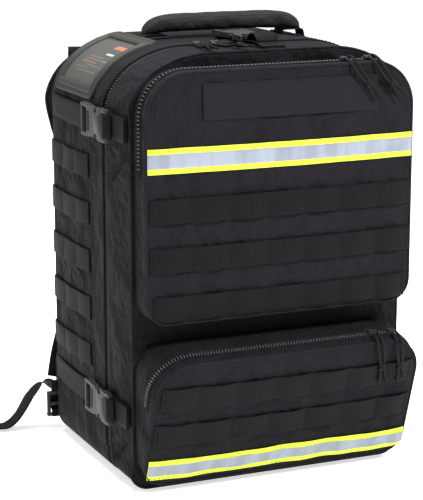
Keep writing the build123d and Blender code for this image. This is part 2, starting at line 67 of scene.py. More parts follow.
# ------------------------------ materials
class Nodes:
    """A short way to write a material's node tree."""

    def __init__(self, name):
        self.material = bpy.data.materials.new(name)
        self.material.use_nodes = True
        self.tree = self.material.node_tree
        self.shader = self.tree.nodes["Principled BSDF"]
        self.coords = self.add("ShaderNodeTexCoord")

    def add(self, kind, **settings):
        node = self.tree.nodes.new(kind)
        for key, value in settings.items():
            if key in node.inputs:
                node.inputs[key].default_value = value
            else:
                setattr(node, key, value)
        return node

    def link(self, output, socket):
        self.tree.links.new(output, socket)

    def spot(self, node):
        self.link(self.coords.outputs["Object"], node.inputs["Vector"])
        return node

    def noise(self, scale, detail=3.0, rough=0.55):
        return self.spot(self.add("ShaderNodeTexNoise", Scale=scale, Detail=detail, Roughness=rough))

    def cells(self, scale, randomness=0.6):
        return self.spot(self.add("ShaderNodeTexVoronoi", Scale=scale, Randomness=randomness))

    def ribs(self, direction, period):
        wave = self.spot(self.add("ShaderNodeTexWave", Scale=0.314 / period, Distortion=0.0))
        wave.bands_direction = direction
        return wave

    def mix(self, factor, first, second):
        node = self.add("ShaderNodeMix", data_type="RGBA")
        self.link(factor, node.inputs["Factor"])
        for socket, value in ((node.inputs[6], first), (node.inputs[7], second)):
            if isinstance(value, tuple):
                socket.default_value = (*value, 1.0)
            else:
                self.link(value, socket)
        return node.outputs[2]

    def scaled(self, value, low, high):
        node = self.add("ShaderNodeMapRange")
        self.link(value, node.inputs["Value"])
        node.inputs["To Min"].default_value = low
        node.inputs["To Max"].default_value = high
        return node.outputs["Result"]

    def sum(self, first, second, operation="ADD"):
        node = self.add("ShaderNodeMath", operation=operation)
        self.link(first, node.inputs[0])
        if isinstance(second, float):
            node.inputs[1].default_value = second
        else:
            self.link(second, node.inputs[1])
        return node.outputs[0]

    def bump(self, height, strength, distance):
        node = self.add("ShaderNodeBump", Strength=strength, Distance=distance)
        self.link(height, node.inputs["Height"])
        self.link(node.outputs["Normal"], self.shader.inputs["Normal"])

    def set(self, **values):
        for key, value in values.items():
            self.shader.inputs[key.replace("_", " ")].default_value = value


def tint(color, factor):
    """A colour made darker or lighter by a factor."""
    return tuple(channel * factor for channel in color)


def woven(name, color, grain=0.9 * MM, strength=0.5, rough=0.8, sheen=0.012):
    """Coarse nylon: a pebbled weave whose raised threads are painted lighter as a highlight, uneven dye and a
    faint sheen.
    """
    nodes = Nodes(name)
    weave = nodes.cells(1 / grain, 0.35)
    cloud = nodes.noise(14.0)
    shade = nodes.mix(cloud.outputs["Fac"], tint(color, 0.78), tint(color, 1.25))
    # painted highlight: the raised threads of the weave are coloured lighter, up to 1.7 times the colour
    thread_highlight = nodes.scaled(weave.outputs["Distance"], 0.0, 0.75)
    nodes.link(nodes.mix(thread_highlight, shade, tint(color, 1.7)), nodes.shader.inputs["Base Color"])
    soft = nodes.noise(260.0, 4.0)
    crumple = nodes.noise(24.0, 4.0, 0.5)
    height = nodes.sum(weave.outputs["Distance"], nodes.scaled(soft.outputs["Fac"], 0.0, 0.5))
    height = nodes.sum(height, nodes.scaled(crumple.outputs["Fac"], 0.0, 150.0))
    nodes.bump(height, strength, 0.35 * MM)
    rough_range = nodes.scaled(cloud.outputs["Fac"], rough - 0.08, rough + 0.08)
    nodes.link(rough_range, nodes.shader.inputs["Roughness"])
    nodes.set(Sheen_Weight=sheen, Sheen_Roughness=0.45, Specular_IOR_Level=0.08)
    nodes.shader.inputs["Sheen Tint"].default_value = (0.75, 0.74, 0.8, 1.0)
    return nodes.material


def ribbed(name, color, direction, period=2.1 * MM, strength=0.7, rough=0.62):
    """Webbing: ribs across the band with painted shade in the grooves between them, and a fine yarn over
    them.
    """
    nodes = Nodes(name)
    ribs = nodes.ribs(direction, period)
    yarn = nodes.cells(1 / (0.7 * MM), 0.5)
    cloud = nodes.noise(22.0)
    shade = nodes.mix(cloud.outputs["Fac"], tint(color, 0.8), tint(color, 1.25))
    # painted shade: the grooves between the ribs are coloured darker, down to 0.55 of the colour
    nodes.link(nodes.mix(nodes.scaled(ribs.outputs["Fac"], 0.0, 0.7), tint(color, 0.55), shade),
               nodes.shader.inputs["Base Color"])
    height = nodes.sum(ribs.outputs["Fac"], nodes.scaled(yarn.outputs["Distance"], 0.0, 0.6))
    nodes.bump(height, strength, 0.4 * MM)
    nodes.set(Roughness=rough, Sheen_Weight=0.01, Sheen_Roughness=0.4, Specular_IOR_Level=0.09)
    return nodes.material


def moulded(name, color, rough=0.42, grain=0.35, scale=1400.0):
    """Moulded plastic: a fine spark-eroded grain and slightly scuffed gloss."""
    nodes = Nodes(name)
    speck = nodes.noise(scale, 2.0)
    scuff = nodes.noise(90.0, 5.0, 0.65)
    nodes.link(nodes.mix(nodes.scaled(scuff.outputs["Fac"], 0.0, 1.0), tint(color, 0.85), tint(color, 1.3)),
               nodes.shader.inputs["Base Color"])
    nodes.link(nodes.scaled(scuff.outputs["Fac"], rough - 0.08, rough + 0.14),
               nodes.shader.inputs["Roughness"])
    nodes.bump(speck.outputs["Fac"], grain, 0.12 * MM)
    nodes.set(Specular_IOR_Level=0.32)
    return nodes.material


def brushed_loop(name, color):
    """Loop pile: soft, mottled, with a strong sheen."""
    nodes = Nodes(name)
    pile = nodes.noise(1500.0, 3.0, 0.7)
    patch = nodes.noise(60.0, 3.0)
    shade = nodes.mix(patch.outputs["Fac"], tint(color, 0.8), tint(color, 1.3))
    nodes.link(nodes.mix(pile.outputs["Fac"], shade, tint(color, 1.5)), nodes.shader.inputs["Base Color"])
    nodes.bump(pile.outputs["Fac"], 0.6, 0.5 * MM)
    nodes.set(Roughness=0.9, Sheen_Weight=0.03, Sheen_Roughness=0.5, Specular_IOR_Level=0.1)
    return nodes.material


def spacer_mesh(name, color):
    """Spacer mesh: round holes over the foam, with painted shade darkening their middles."""
    nodes = Nodes(name)
    holes = nodes.cells(1 / (3.2 * MM), 0.12)
    # painted shade: the holes are coloured much darker towards their middles, where the bump is lowest
    rim = nodes.scaled(holes.outputs["Distance"], 0.0, 1.6)
    nodes.link(nodes.mix(rim, tint(color, 0.3), tint(color, 1.3)), nodes.shader.inputs["Base Color"])
    nodes.bump(holes.outputs["Distance"], 0.8, 0.9 * MM)
    nodes.set(Roughness=0.85, Sheen_Weight=0.03, Sheen_Roughness=0.5, Specular_IOR_Level=0.12)
    return nodes.material


def hi_vis_painted_glow(name, color):
    """Hi-vis weave with a painted glow: it emits a little light of its own colour, standing in for the
    brightness of its fluorescent dye.
    """
    nodes = Nodes(name)
    weave = nodes.cells(1 / (0.8 * MM), 0.3)
    cloud = nodes.noise(30.0)
    shade = nodes.mix(cloud.outputs["Fac"], tint(color, 0.86), color)
    nodes.link(nodes.mix(nodes.scaled(weave.outputs["Distance"], 0.0, 0.5), tint(color, 0.9), shade),
               nodes.shader.inputs["Base Color"])
    nodes.bump(weave.outputs["Distance"], 0.3, 0.2 * MM)
    # painted glow: the emission lights the tape though it is no lamp
    nodes.set(Roughness=0.6, Emission_Strength=0.16)
    nodes.shader.inputs["Emission Color"].default_value = (*color, 1.0)
    return nodes.material


def retroreflective(name, color):
    """Glass-bead tape: a grey silver with a fine bead grain, and soft creases painted on as streaks of shade
    and light.
    """
    nodes = Nodes(name)
    beads = nodes.cells(1 / (0.5 * MM), 1.0)
    # painted shade and light: stretched noise streaks the silver darker and lighter, as creases catching the
    # light
    crease = nodes.add("ShaderNodeTexNoise", Scale=30.0, Detail=3.0)
    stretch = nodes.add("ShaderNodeMapping")
    stretch.inputs["Scale"].default_value = (2.2, 1.0, 0.25)
    nodes.link(nodes.spot(stretch).outputs["Vector"], crease.inputs["Vector"])
    crease_shade = nodes.add("ShaderNodeMapRange")
    nodes.link(crease.outputs["Fac"], crease_shade.inputs["Value"])
    crease_shade.inputs["From Min"].default_value = 0.38
    crease_shade.inputs["From Max"].default_value = 0.62
    shade = nodes.mix(crease_shade.outputs["Result"], tint(color, 0.74), tint(color, 1.12))
    nodes.link(nodes.mix(nodes.scaled(beads.outputs["Distance"], 0.0, 0.5), shade, tint(color, 1.2)),
               nodes.shader.inputs["Base Color"])
    nodes.bump(beads.outputs["Distance"], 0.25, 0.1 * MM)
    nodes.set(Roughness=0.42, Metallic=0.2, Specular_IOR_Level=0.6)
    return nodes.material


def vinyl(name):
    """Clear soft vinyl with faint ripples."""
    nodes = Nodes(name)
    ripple = nodes.noise(55.0, 2.0)
    nodes.link(nodes.mix(ripple.outputs["Fac"], (0.30, 0.31, 0.30), (0.36, 0.37, 0.36)),
               nodes.shader.inputs["Base Color"])
    nodes.bump(ripple.outputs["Fac"], 0.25, 0.8 * MM)
    nodes.set(Roughness=0.3, Alpha=0.09, Specular_IOR_Level=0.3)
    return nodes.material


BLACK = (0.0088, 0.0080, 0.0098)
FABRIC = woven("fabric_nylon", BLACK)
FLAP = woven("fabric_flap", (0.0095, 0.0092, 0.0104), 0.8 * MM, 0.35)
WEB_X = ribbed("webbing_across", (0.0088, 0.0082, 0.0092), "X", 2.7 * MM)
WEB_Y = ribbed("webbing_along", (0.0085, 0.0080, 0.0086), "Y")
WEB_Z = ribbed("webbing_upright", (0.0085, 0.0080, 0.0086), "Z")
GRIP = woven("handle_fabric", (0.0140, 0.0148, 0.0140), 0.7 * MM, 0.35, 0.66)
PLASTIC = moulded("buckle_plastic", (0.026, 0.0255, 0.026), 0.48)
METAL = moulded("slider_lacquer", (0.028, 0.028, 0.030), 0.28, 0.15)
COIL = moulded("zipper_coil", (0.085, 0.084, 0.092), 0.4, 0.2)
CORD = ribbed("cord_braid", (0.0165, 0.0160, 0.0175), "DIAGONAL", 1.1 * MM, 0.6)
LOOP = brushed_loop("loop_pile", (0.0095, 0.0090, 0.0108))
MESH = spacer_mesh("spacer_mesh", (0.0150, 0.0150, 0.0160))
HI_VIS = hi_vis_painted_glow("hi_vis_weave", (0.66, 0.92, 0.035))
SILVER = retroreflective("retroreflective_bead", (0.27, 0.30, 0.36))
FRAME_RIM = moulded("window_rim", (0.026, 0.0255, 0.021), 0.6, 0.4, 900.0)
FILM = vinyl("window_vinyl")
SHEET = moulded("frame_sheet_plastic", (0.05, 0.05, 0.05), 0.5, 0.3)


# ------------------------------ mesh tools
def make_object(name, points, faces, smooth=True):
    """A mesh object from points and faces."""
    mesh = bpy.data.meshes.new(name)
    mesh.from_pydata([tuple(point) for point in points], [], faces)
    mesh.validate()
    if smooth:
        mesh.shade_smooth()
    thing = bpy.data.objects.new(name, mesh)
    bpy.context.scene.collection.objects.link(thing)
    return thing


def grid_faces(rows, columns, closed=False):
    """The faces of a grid of points, kept row by row; a closed grid joins each row's ends."""
    faces = []
    for row in range(rows - 1):
        for step in range(columns if closed else columns - 1):
            after = (step + 1) % columns
            faces.append((row * columns + step, row * columns + after,
                          (row + 1) * columns + after, (row + 1) * columns + step))
    return faces


def loft(name, rings, caps=True):
    """A skin over closed rings that all have the same number of points."""
    count = len(rings[0])
    points = [point for ring in rings for point in ring]
    faces = grid_faces(len(rings), count, True)
    if caps:
        faces.append(tuple(reversed(range(count))))
        faces.append(tuple(range((len(rings) - 1) * count, len(rings) * count)))
    return make_object(name, points, faces)


def apply_modifiers(thing):
    """Bakes an object's modifiers into its mesh."""
    graph = bpy.context.evaluated_depsgraph_get()
    mesh = bpy.data.meshes.new_from_object(thing.evaluated_get(graph))
    thing.modifiers.clear()
    thing.data = mesh
    return thing


def thicken(thing, thick, offset=-1.0):
    """Gives a surface a thickness."""
    modifier = thing.modifiers.new("thickness", "SOLIDIFY")
    modifier.thickness = thick
    modifier.offset = offset
    return thing


def bevel(thing, width, segments=2):
    """Rounds the sharp edges."""
    modifier = thing.modifiers.new("bevel", "BEVEL")
    modifier.width = width
    modifier.segments = segments
    modifier.limit_method = "ANGLE"
    modifier.angle_limit = math.radians(40)
    modifier.harden_normals = False
    return thing


def fair_normals(thing):
    """Turn every face outwards."""
    grid = bmesh.new()
    grid.from_mesh(thing.data)
    bmesh.ops.recalc_face_normals(grid, faces=grid.faces)
    grid.to_mesh(thing.data)
    grid.free()
    return thing


def place(thing, body, material, slot, *nodes):
    """Gives a finished piece its body and its material, and hides the CAD nodes that it stands for."""
    thing.data.materials.clear()
    thing.data.materials.append(material)
    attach(thing, body)
    if nodes:
        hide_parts(*nodes)
    return thing


def join(name, things):
    """One mesh from several, with their modifiers applied."""
    points, faces = [], []
    for thing in things:
        apply_modifiers(thing)
        base = len(points)
        points += [vertex.co.copy() for vertex in thing.data.vertices]
        faces += [tuple(base + index for index in polygon.vertices) for polygon in thing.data.polygons]
        bpy.data.objects.remove(thing)
    return make_object(name, points, faces)


def spread(line_points, count, spans):
    """Points at even steps along a line, as long as its whole length over spans."""
    lengths = [0.0]
    for first, second in zip(line_points, line_points[1:]):
        lengths.append(lengths[-1] + (second - first).length)
    found, at = [], 0
    for step in range(count):
        want = lengths[-1] * step / spans
        while at < len(lengths) - 2 and lengths[at + 1] < want:
            at += 1
        share = (want - lengths[at]) / max(lengths[at + 1] - lengths[at], 1e-9)
        found.append(line_points[at].lerp(line_points[at + 1], min(max(share, 0.0), 1.0)))
    return found


def curve_points(points, count):
    """Even points along a smooth curve through the given ones."""
    padded = [points[0] * 2 - points[1], *points, points[-1] * 2 - points[-2]]
    dense = []
    for index in range(1, len(padded) - 2):
        before, start, end, after = padded[index - 1:index + 3]
        for step in range(16):
            t = step / 16
            dense.append(0.5 * ((2 * start) + (end - before) * t
                                + (2 * before - 5 * start + 4 * end - after) * t * t
                                + (3 * start - before - 3 * end + after) * t ** 3))
    dense.append(points[-1])
    return spread(dense, count, count - 1)


def route(places, count):
    """Even points along a smooth curve through these places, which are in millimetres."""
    return curve_points([Vector(place_mm) * MM for place_mm in places], count)


def tangents(points, closed=False):
    """The direction of a path at each of its points."""
    count = len(points)
    found = []
    for index in range(count):
        before = points[(index - 1) % count] if closed or index else points[0]
        after = points[(index + 1) % count] if closed or index < count - 1 else points[-1]
        found.append((after - before).normalized())
    return found


RIBBON = ((-0.5, 0.25), (-0.485, 0.0), (-0.25, 0.0), (0.25, 0.0), (0.485, 0.0), (0.5, 0.25),
          (0.5, 0.75), (0.485, 1.0), (0.25, 1.0), (-0.25, 1.0), (-0.485, 1.0), (-0.5, 0.75))


def ribbon(name, points, sides, width, thick):
    """A flat band along points, with its width along each side vector and its thickness outwards."""
    rings = []
    for point, along, side in zip(points, tangents(points), sides):
        across = (side - along * side.dot(along)).normalized()
        out = across.cross(along)
        rings.append([point + across * width * a + out * thick * b for a, b in RIBBON])
    return fair_normals(loft(name, rings))


def tube(name, points, radius, closed=False, sides=8):
    """A round cord or piping along points."""
    lines = tangents(points, closed)
    normal = lines[0].orthogonal().normalized()
    rings = []
    for point, line in zip(points, lines):
        normal = (normal - line * normal.dot(line)).normalized()
        other = line.cross(normal)
        rings.append([point + (normal * math.cos(angle) + other * math.sin(angle)) * radius
                      for angle in (2 * math.pi * side / sides for side in range(sides))])
    if closed:
        rings.append(rings[0])
        return fair_normals(loft(name, rings, False))
    return fair_normals(loft(name, rings))


def prism(points, low, high):
    """The points and faces of an upright slab with this outline."""
    count = len(points)
    spots = [Vector((x, y, low)) for x, y in points] + [Vector((x, y, high)) for x, y in points]
    faces = [tuple(reversed(range(count))), tuple(range(count, 2 * count))]
    faces += [(step, (step + 1) % count, (step + 1) % count + count, step + count) for step in range(count)]
    return spots, faces


def slabs(name, shapes, matrix, width=0.5 * MM, segments=2):
    """Bevelled slabs, given as (outline, low, high) before the matrix moves them."""
    points, faces = [], []
    for outline, low, high in shapes:
        spots, sides = prism(outline, low, high)
        base = len(points)
        points += [matrix @ spot for spot in spots]
        faces += [tuple(base + index for index in side) for side in sides]
    thing = fair_normals(make_object(name, points, faces, smooth=False))
    return bevel(thing, width, segments)


# ------------------------------ soft skins
def rounded(width, low, high, low_radius, high_radius, count, reach=None):
    """Even points round an upright rounded rectangle, from the middle of its lower edge, as (x, up).

    reach is how far along the top its upper corners run, where that isn't their radius.
    """
    reach = reach or high_radius
    half = width / 2
    dense = [(0.0, low)]
    corners = ((half - low_radius, low + low_radius, low_radius, low_radius, -90),
               (half - reach, high - high_radius, reach, high_radius, 0),
               (-half + reach, high - high_radius, reach, high_radius, 90),
               (-half + low_radius, low + low_radius, low_radius, low_radius, 180))
    for x, up, wide, tall, start in corners:
        for step in range(25):
            angle = math.radians(start + 90 * step / 24)
            dense.append((x + wide * math.cos(angle), up + tall * math.sin(angle)))
    dense.append((0.0, low))
    even = spread([Vector((x, up, 0.0)) for x, up in dense], count, count)
    return [(spot.x, spot.y) for spot in even]


def outward(points):
    """The outward direction at each point of a closed outline."""
    count = len(points)
    found = []
    for index in range(count):
        before, after = points[index - 1], points[(index + 1) % count]
        along = Vector((after[0] - before[0], after[1] - before[1], 0.0)).normalized()
        found.append((along.y, -along.x))
    return found


class Face:
    """A flat frame for a pocket or panel: x across, up its face and depth outwards."""

    def __init__(self, origin, lean=0.0, ceiling=None):
        tilt = math.radians(lean)
        self.origin = Vector(origin)
        self.up = Vector((0.0, -math.sin(tilt), math.cos(tilt)))
        self.out = Vector((0.0, -math.cos(tilt), -math.sin(tilt)))
        self.ceiling = ceiling

    def at(self, x, up, depth):
        spot = self.origin + Vector((x, 0.0, 0.0)) + self.up * up + self.out * depth
        if self.ceiling and spot.z > self.ceiling:
            spot.z = self.ceiling + (spot.z - self.ceiling) * 0.2
        return spot

    def local(self, spot):
        away = spot - self.origin
        return away.x, away.dot(self.up), away.dot(self.out)


def tray(name, face, shape, levels, push, crown, edge=5 * MM, rings=30):
    """An open tray: walls along an outline through depth levels, a soft edge, and a crowned front."""
    last = [push(x, up, levels[-1], way) for (x, up), way in zip(shape, outward(shape))]
    shifts = [(a * value, b * value) for (a, b), value in zip(outward(shape), last)]
    ways = outward(shape)
    low = min(up for _, up in shape)
    high = max(up for _, up in shape)
    middle = (low + high) / 2
    rows = []
    for depth in levels:
        rows.append([face.at(x + a * push(x, up, depth, (a, b)), up + b * push(x, up, depth, (a, b)), depth)
                     for (x, up), (a, b) in zip(shape, ways)])
    turns = 5
    for step in range(1, turns + 1):
        angle = math.pi / 2 * step / turns
        inset, rise = edge * (1 - math.cos(angle)), edge * math.sin(angle)
        rows.append([face.at(x + dx - a * inset, up + du - b * inset, levels[-1] + rise)
                     for (x, up), (a, b), (dx, du) in zip(shape, ways, shifts)])
    inner = [(x + dx - a * edge, up + du - b * edge)
             for (x, up), (a, b), (dx, du) in zip(shape, ways, shifts)]
    for step in range(1, rings):
        share = 1 - step / rings
        ring = []
        for x, up in inner:
            px, pu = x * share, middle + (up - middle) * share
            ring.append(face.at(px, pu, levels[-1] + edge + crown(px, pu)))
        rows.append(ring)
    count = len(shape)
    points = [point for row in rows for point in row]
    faces = grid_faces(len(rows), count, True)
    points.append(face.at(0.0, middle, levels[-1] + edge + crown(0.0, middle)))
    last = (len(rows) - 1) * count
    faces += [(last + step, last + (step + 1) % count, len(points) - 1) for step in range(count)]
    return make_object(name, points, faces)


def carve(thing, name, planes, keep):
    """A copy of a mesh, cut along planes, with only the faces whose middles are wanted."""
    grid = bmesh.new()
    grid.from_mesh(thing.data)
    for spot, normal in planes:
        everything = [*grid.verts, *grid.edges, *grid.faces]
        bmesh.ops.bisect_plane(grid, geom=everything, plane_co=spot, plane_no=normal, dist=1e-6)
    unwanted = [polygon for polygon in grid.faces if not keep(polygon.calc_center_median())]
    bmesh.ops.delete(grid, geom=unwanted, context="FACES")
    mesh = bpy.data.meshes.new(name)
    grid.to_mesh(mesh)
    grid.free()
    mesh.shade_smooth()
    piece = bpy.data.objects.new(name, mesh)
    bpy.context.scene.collection.objects.link(piece)
    return piece


def surface(thing):
    """A tree for casting rays onto this mesh."""
    points = [vertex.co.copy() for vertex in thing.data.vertices]
    return BVHTree.FromPolygons(points, [tuple(polygon.vertices) for polygon in thing.data.polygons])


def line(shell, thick):
    """Gives a skin its thickness, inwards."""
    return apply_modifiers(thicken(fair_normals(shell), thick))


def drape(name, skin, rays, lift, thick):
    """A band laid on a skin: one ray per grid point, lifted by lift(row, column)."""
    rows, columns = len(rays), len(rays[0])
    points = []
    for row in range(rows):
        for column in range(columns):
            start, way = rays[row][column]
            hit = skin.ray_cast(start, way)[0]
            spot = hit if hit else start + way * RAY
            points.append(spot - way * lift(row / (rows - 1), column / (columns - 1)))
    band = make_object(name, points, grid_faces(rows, columns))
    way = rays[0][0][1]
    if band.data.polygons[0].normal.dot(way) > 0:
        band.data.flip_normals()
    thicken(band, thick, 1.0)
    apply_modifiers(band)
    return bevel(band, thick * 0.35, 2)


def face_rays(face, x0, x1, low, high, columns, rows=7):
    """Rays onto a pocket's front over a band."""
    return [[(face.at(x0 + (x1 - x0) * c / (columns - 1), low + (high - low) * r / (rows - 1), RAY),
              -face.out) for c in range(columns)] for r in range(rows)]


def smooth_noise(*values):
    """Smooth noise from -1 to 1."""
    return noise.noise(Vector(values))


def folds(a, b, seed, across=9.0, along=26.0):
    """Soft folds, longer across than up, with finer creases on them; from -1 to 1."""
    slow = smooth_noise(a * across, b * along, seed)
    fine = smooth_noise(a * 42.0, b * 70.0, seed + 7.3)
    return 0.75 * slow + 0.25 * fine


def swell(value, low, high):
    """0 outside a span and up to 1 in its middle."""
    share = (value - low) / (high - low)
    return math.sin(math.pi * share) if 0 < share < 1 else 0.0


def add_stud(points, faces, low, high, half, wide, taper):
    """Adds a block that narrows from low to high, given its half length and half width there."""
    base = len(points)
    for middle, a, b in ((low, half, wide), (high, half * 0.6, wide * taper)):
        points += [middle - a - b, middle + a - b, middle + a + b, middle - a + b]
    faces += [tuple(base + index for index in quad) for quad in
              ((0, 1, 5, 4), (1, 2, 6, 5), (2, 3, 7, 6), (3, 0, 4, 7), (4, 5, 6, 7), (3, 2, 1, 0))]


def finer(run, parts):
    """A run of (point, outward) pairs with each leg cut into parts."""
    return [(first.lerp(second, step / parts), way)
            for (first, way), (second, _) in zip(run, run[1:]) for step in range(parts)]


def stitches(name, runs, size=(2.6 * MM, 0.55 * MM), pitch=4.2 * MM):
    """Sewing: short threads along runs of (point, outward) pairs."""
    points, faces = [], []
    for run in runs:
        spots = [spot for spot, _ in run]
        ways = [way for _, way in run]
        travelled = 0.0
        for first, second, way in zip(spots, spots[1:], ways):
            step = (second - first).length
            travelled += step
            if travelled < pitch or step < 1e-7:
                continue
            travelled = 0.0
            along = (second - first).normalized()
            side = along.cross(way).normalized()
            half, wide = along * size[0] / 2, side * size[1] / 2
            add_stud(points, faces, first - way * 0.2 * MM, first + way * 0.32 * MM, half, wide, 0.6)
    return make_object(name, points, faces)


def teeth(name, runs, size, pitch):
    """Zipper teeth: blocks along runs of (point, outward, along) with (along, across, high) sizes."""
    points, faces = [], []
    for run in runs:
        travelled = pitch
        for index in range(len(run) - 1):
            spot, way, along = run[index]
            travelled += (run[index + 1][0] - spot).length
            if travelled < pitch:
                continue
            travelled = 0.0
            side = along.cross(way).normalized()
            half, wide = along * size[0] / 2, side * size[1] / 2
            add_stud(points, faces, spot, spot + way * size[2], half, wide, 0.8)
    return make_object(name, points, faces)


# ------------------------------ main shell and door
STRAP_HEIGHTS = (384 * MM, 79 * MM)
ROW_TOPS = [344 * MM - row * 52.5 * MM for row in range(5)]
CORNER_HIGH = 66 * MM
CORNER_REACH = 92 * MM
CORNER = Vector((-HALF + CORNER_REACH, 0.0, TOP - CORNER_HIGH))
OUTLINE = rounded(2 * HALF, 0.0, TOP, BASE_RADIUS, CORNER_HIGH, 300, CORNER_REACH)
back_face = Face((0.0, BACK_Y, 0.0))
back_face.out = Vector((0.0, 1.0, 0.0))


def depth_levels(deepest, count):
    """Even depths from the deepest to where the soft front edge begins."""
    return [deepest + (-EDGE - deepest) * step / count for step in range(count + 1)]


def strap_pinch(up):
    """1 away from the side straps and 0 under them."""
    nearest = min(abs(up - height) for height in STRAP_HEIGHTS)
    return min(max((nearest - 10 * MM) / (35 * MM), 0.0), 1.0)


def shell_push(x, up, depth, way):
    """How far the rear shell's side bulges at a point of its outline."""
    y = BACK_Y + depth
    side = max(0.0, 1 - 5 * abs(way[1]))
    bulge = swell(y, -14 * MM, BACK_Y)
    wave = folds(y, up, 3.1 + (x > 0) * 9.0, 16.0, 22.0)
    return side * bulge * strap_pinch(up) * (3.0 + 3.4 * wave) * MM


def shell_crown(x, up):
    """How far the rear shell's back face is domed."""
    away = max(abs(x) / HALF, abs(up - TOP / 2) / (TOP / 2))
    return (-1.2 + 0.8 * smooth_noise(x * 12, up * 12, 5.0)) * MM * (1 - away ** 4)


shell_levels = depth_levels(SEAM_Y + 2.5 * MM - BACK_Y, 26)
shell_skin = tray("shell_skin", back_face, OUTLINE, shell_levels, shell_push, shell_crown, EDGE)
door_face = Face((0.0, DOOR_Y, 0.0))


def door_push(x, up, depth, way):
    """How far the door's side bulges at a point of its outline."""
    y = DOOR_Y - depth
    side = max(0.0, 1 - 3 * abs(way[1]))
    bulge = swell(y, DOOR_Y, SEAM_Y - 3 * MM)
    crease = folds(y, up, 11.7 + (x > 0) * 5.0, 30.0, 24.0)
    pinch = 0.0
    for height in STRAP_HEIGHTS:
        drop = (height - 14 * MM - up) - (y - DOOR_Y) * 0.9
        pinch += math.exp(-(drop / (5 * MM)) ** 2) * math.exp(-((up - height + 45 * MM) / (60 * MM)) ** 2)
    taper = max(0.0, (SEAM_Y - 3 * MM - y) / (SEAM_Y - 3 * MM - DOOR_Y)) ** 1.3
    return side * (bulge * (1.6 * strap_pinch(up) + 2.8 * crease - 5.5 * pinch) - 4.2 * taper) * MM


door_shape = rounded(2 * HALF, 1 * MM, TOP, BASE_RADIUS, CORNER_HIGH, 300, CORNER_REACH)
door_levels = depth_levels(DOOR_Y - SEAM_Y + 2.5 * MM, 14)
door_skin = tray("door_skin", door_face, door_shape, door_levels, door_push,
                 lambda x, up: 0.4 * MM * smooth_noise(x * 15, up * 15, 2.0), EDGE)
pack_tree = surface(shell_skin)
place(line(shell_skin, 4 * MM), "pack", FABRIC, "fabric_black", "main_shell")
place(line(door_skin, 4 * MM), "front_door", FABRIC, "fabric_black", "door_shell")


# ------------------------------ pockets
class Pocket:
    """An outside pocket: its front face, outline and fold, and the finished skins."""

    def __init__(self, key, face, width, height, radius, fold, deep, bulge):
        self.key = key
        self.face = face
        self.width = width
        self.height = height
        self.fold = fold
        self.shape = rounded(width, 0.0, height, 24 * MM, radius, 260)
        edge = 5 * MM
        seed = 21.0 if key == "a" else 44.0

        def push(x, up, depth, way):
            wave = folds(depth, up + x * 0.6, seed, 22.0, 26.0)
            return swell(depth, -deep, -edge) * wave * 1.6 * MM * (0.35 + 0.65 * abs(way[0]))

        def crown(x, up):
            a, b = x / (width / 2), (up - height / 2) / (height / 2)
            dome = max(0.0, 1 - abs(a) ** 3.0) * max(0.0, 1 - abs(b) ** 2.6)
            crease = math.exp(-((up - fold) / (7 * MM)) ** 2)
            rim = max(0.0, 1 - abs(a) ** 8) * max(0.0, 1 - abs(b) ** 8)
            rumple = folds(x, up, seed + 3) + 0.8 * folds(x * 0.6 + up, up - x * 0.3, seed + 8, 14.0, 14.0)
            return (bulge * dome + 2.3 * MM * rumple * rim - 0.3 * MM * crease * rim)

        levels = [-deep - (-deep + 20.2 * MM) * step / 6 for step in range(7)]
        levels += [-19.9 * MM, -17 * MM, -14.3 * MM, -14 * MM, -11 * MM, -8 * MM, -edge]
        full = tray("pocket_full_" + key, face, self.shape, levels, push, crown, edge)
        self.tree = surface(full)
        o, u, n = face.origin, face.up, face.out
        cuts = [(o + u * fold, u), (o - n * 14.1 * MM, n), (o - n * 19.8 * MM, n),
                (Vector((0, DOOR_Y - 0.3 * MM, 0)), Vector((0, 1, 0)))]

        def in_box(spot):
            _, up, depth = face.local(spot)
            return spot.y < DOOR_Y - 0.2 * MM and (up < fold or depth < -19.8 * MM)

        def in_lid(spot):
            _, up, depth = face.local(spot)
            return up > fold and depth > -14.1 * MM

        def in_zip(spot):
            _, up, depth = face.local(spot)
            return up > fold and -19.8 * MM < depth < -14.1 * MM

        box = carve(full, "pocket_" + key + "_skin", cuts, in_box)
        lid = carve(full, "lid_" + key + "_skin", cuts, in_lid)
        tape = carve(full, "zip_tape_" + key, cuts, in_zip)
        bpy.data.objects.remove(full)
        self.lid_body = "lid_upper" if key == "a" else "lid_lower"
        place(line(box, 2.2 * MM), "front_door", FABRIC, "fabric_black", "pocket_" + key + "_box")
        place(line(lid, 2.2 * MM), self.lid_body, FABRIC, "fabric_black", "pocket_" + key + "_lid")
        place(line(tape, 1.4 * MM), self.lid_body, FLAP, "zipper")

    def hit(self, spot):
        """Where the pocket's front skin lies behind a point, or None."""
        return self.tree.ray_cast(spot, -self.face.out)[0]

    def rim(self, inset, depth, above):
        """Points and outward ways along the outline, above or below the fold."""
        ways = outward(self.shape)
        run = []
        count = len(self.shape)
        order = range(count) if above else [(step + count // 2) % count for step in range(count)]
        for index in order:
            (x, up), (a, b) = self.shape[index], ways[index]
            if (up > self.fold) == above:
                run.append((self.face.at(x - a * inset, up - b * inset, depth),
                            Vector((a, 0, 0)) + self.face.up * b))
        side = 1 if above else -1
        edge = self.width / 2 - inset
        first = (self.face.at(side * edge, self.fold, depth), Vector((side, 0, 0)))
        last = (self.face.at(-side * edge, self.fold, depth), Vector((-side, 0, 0)))
        return [first, *run, last]


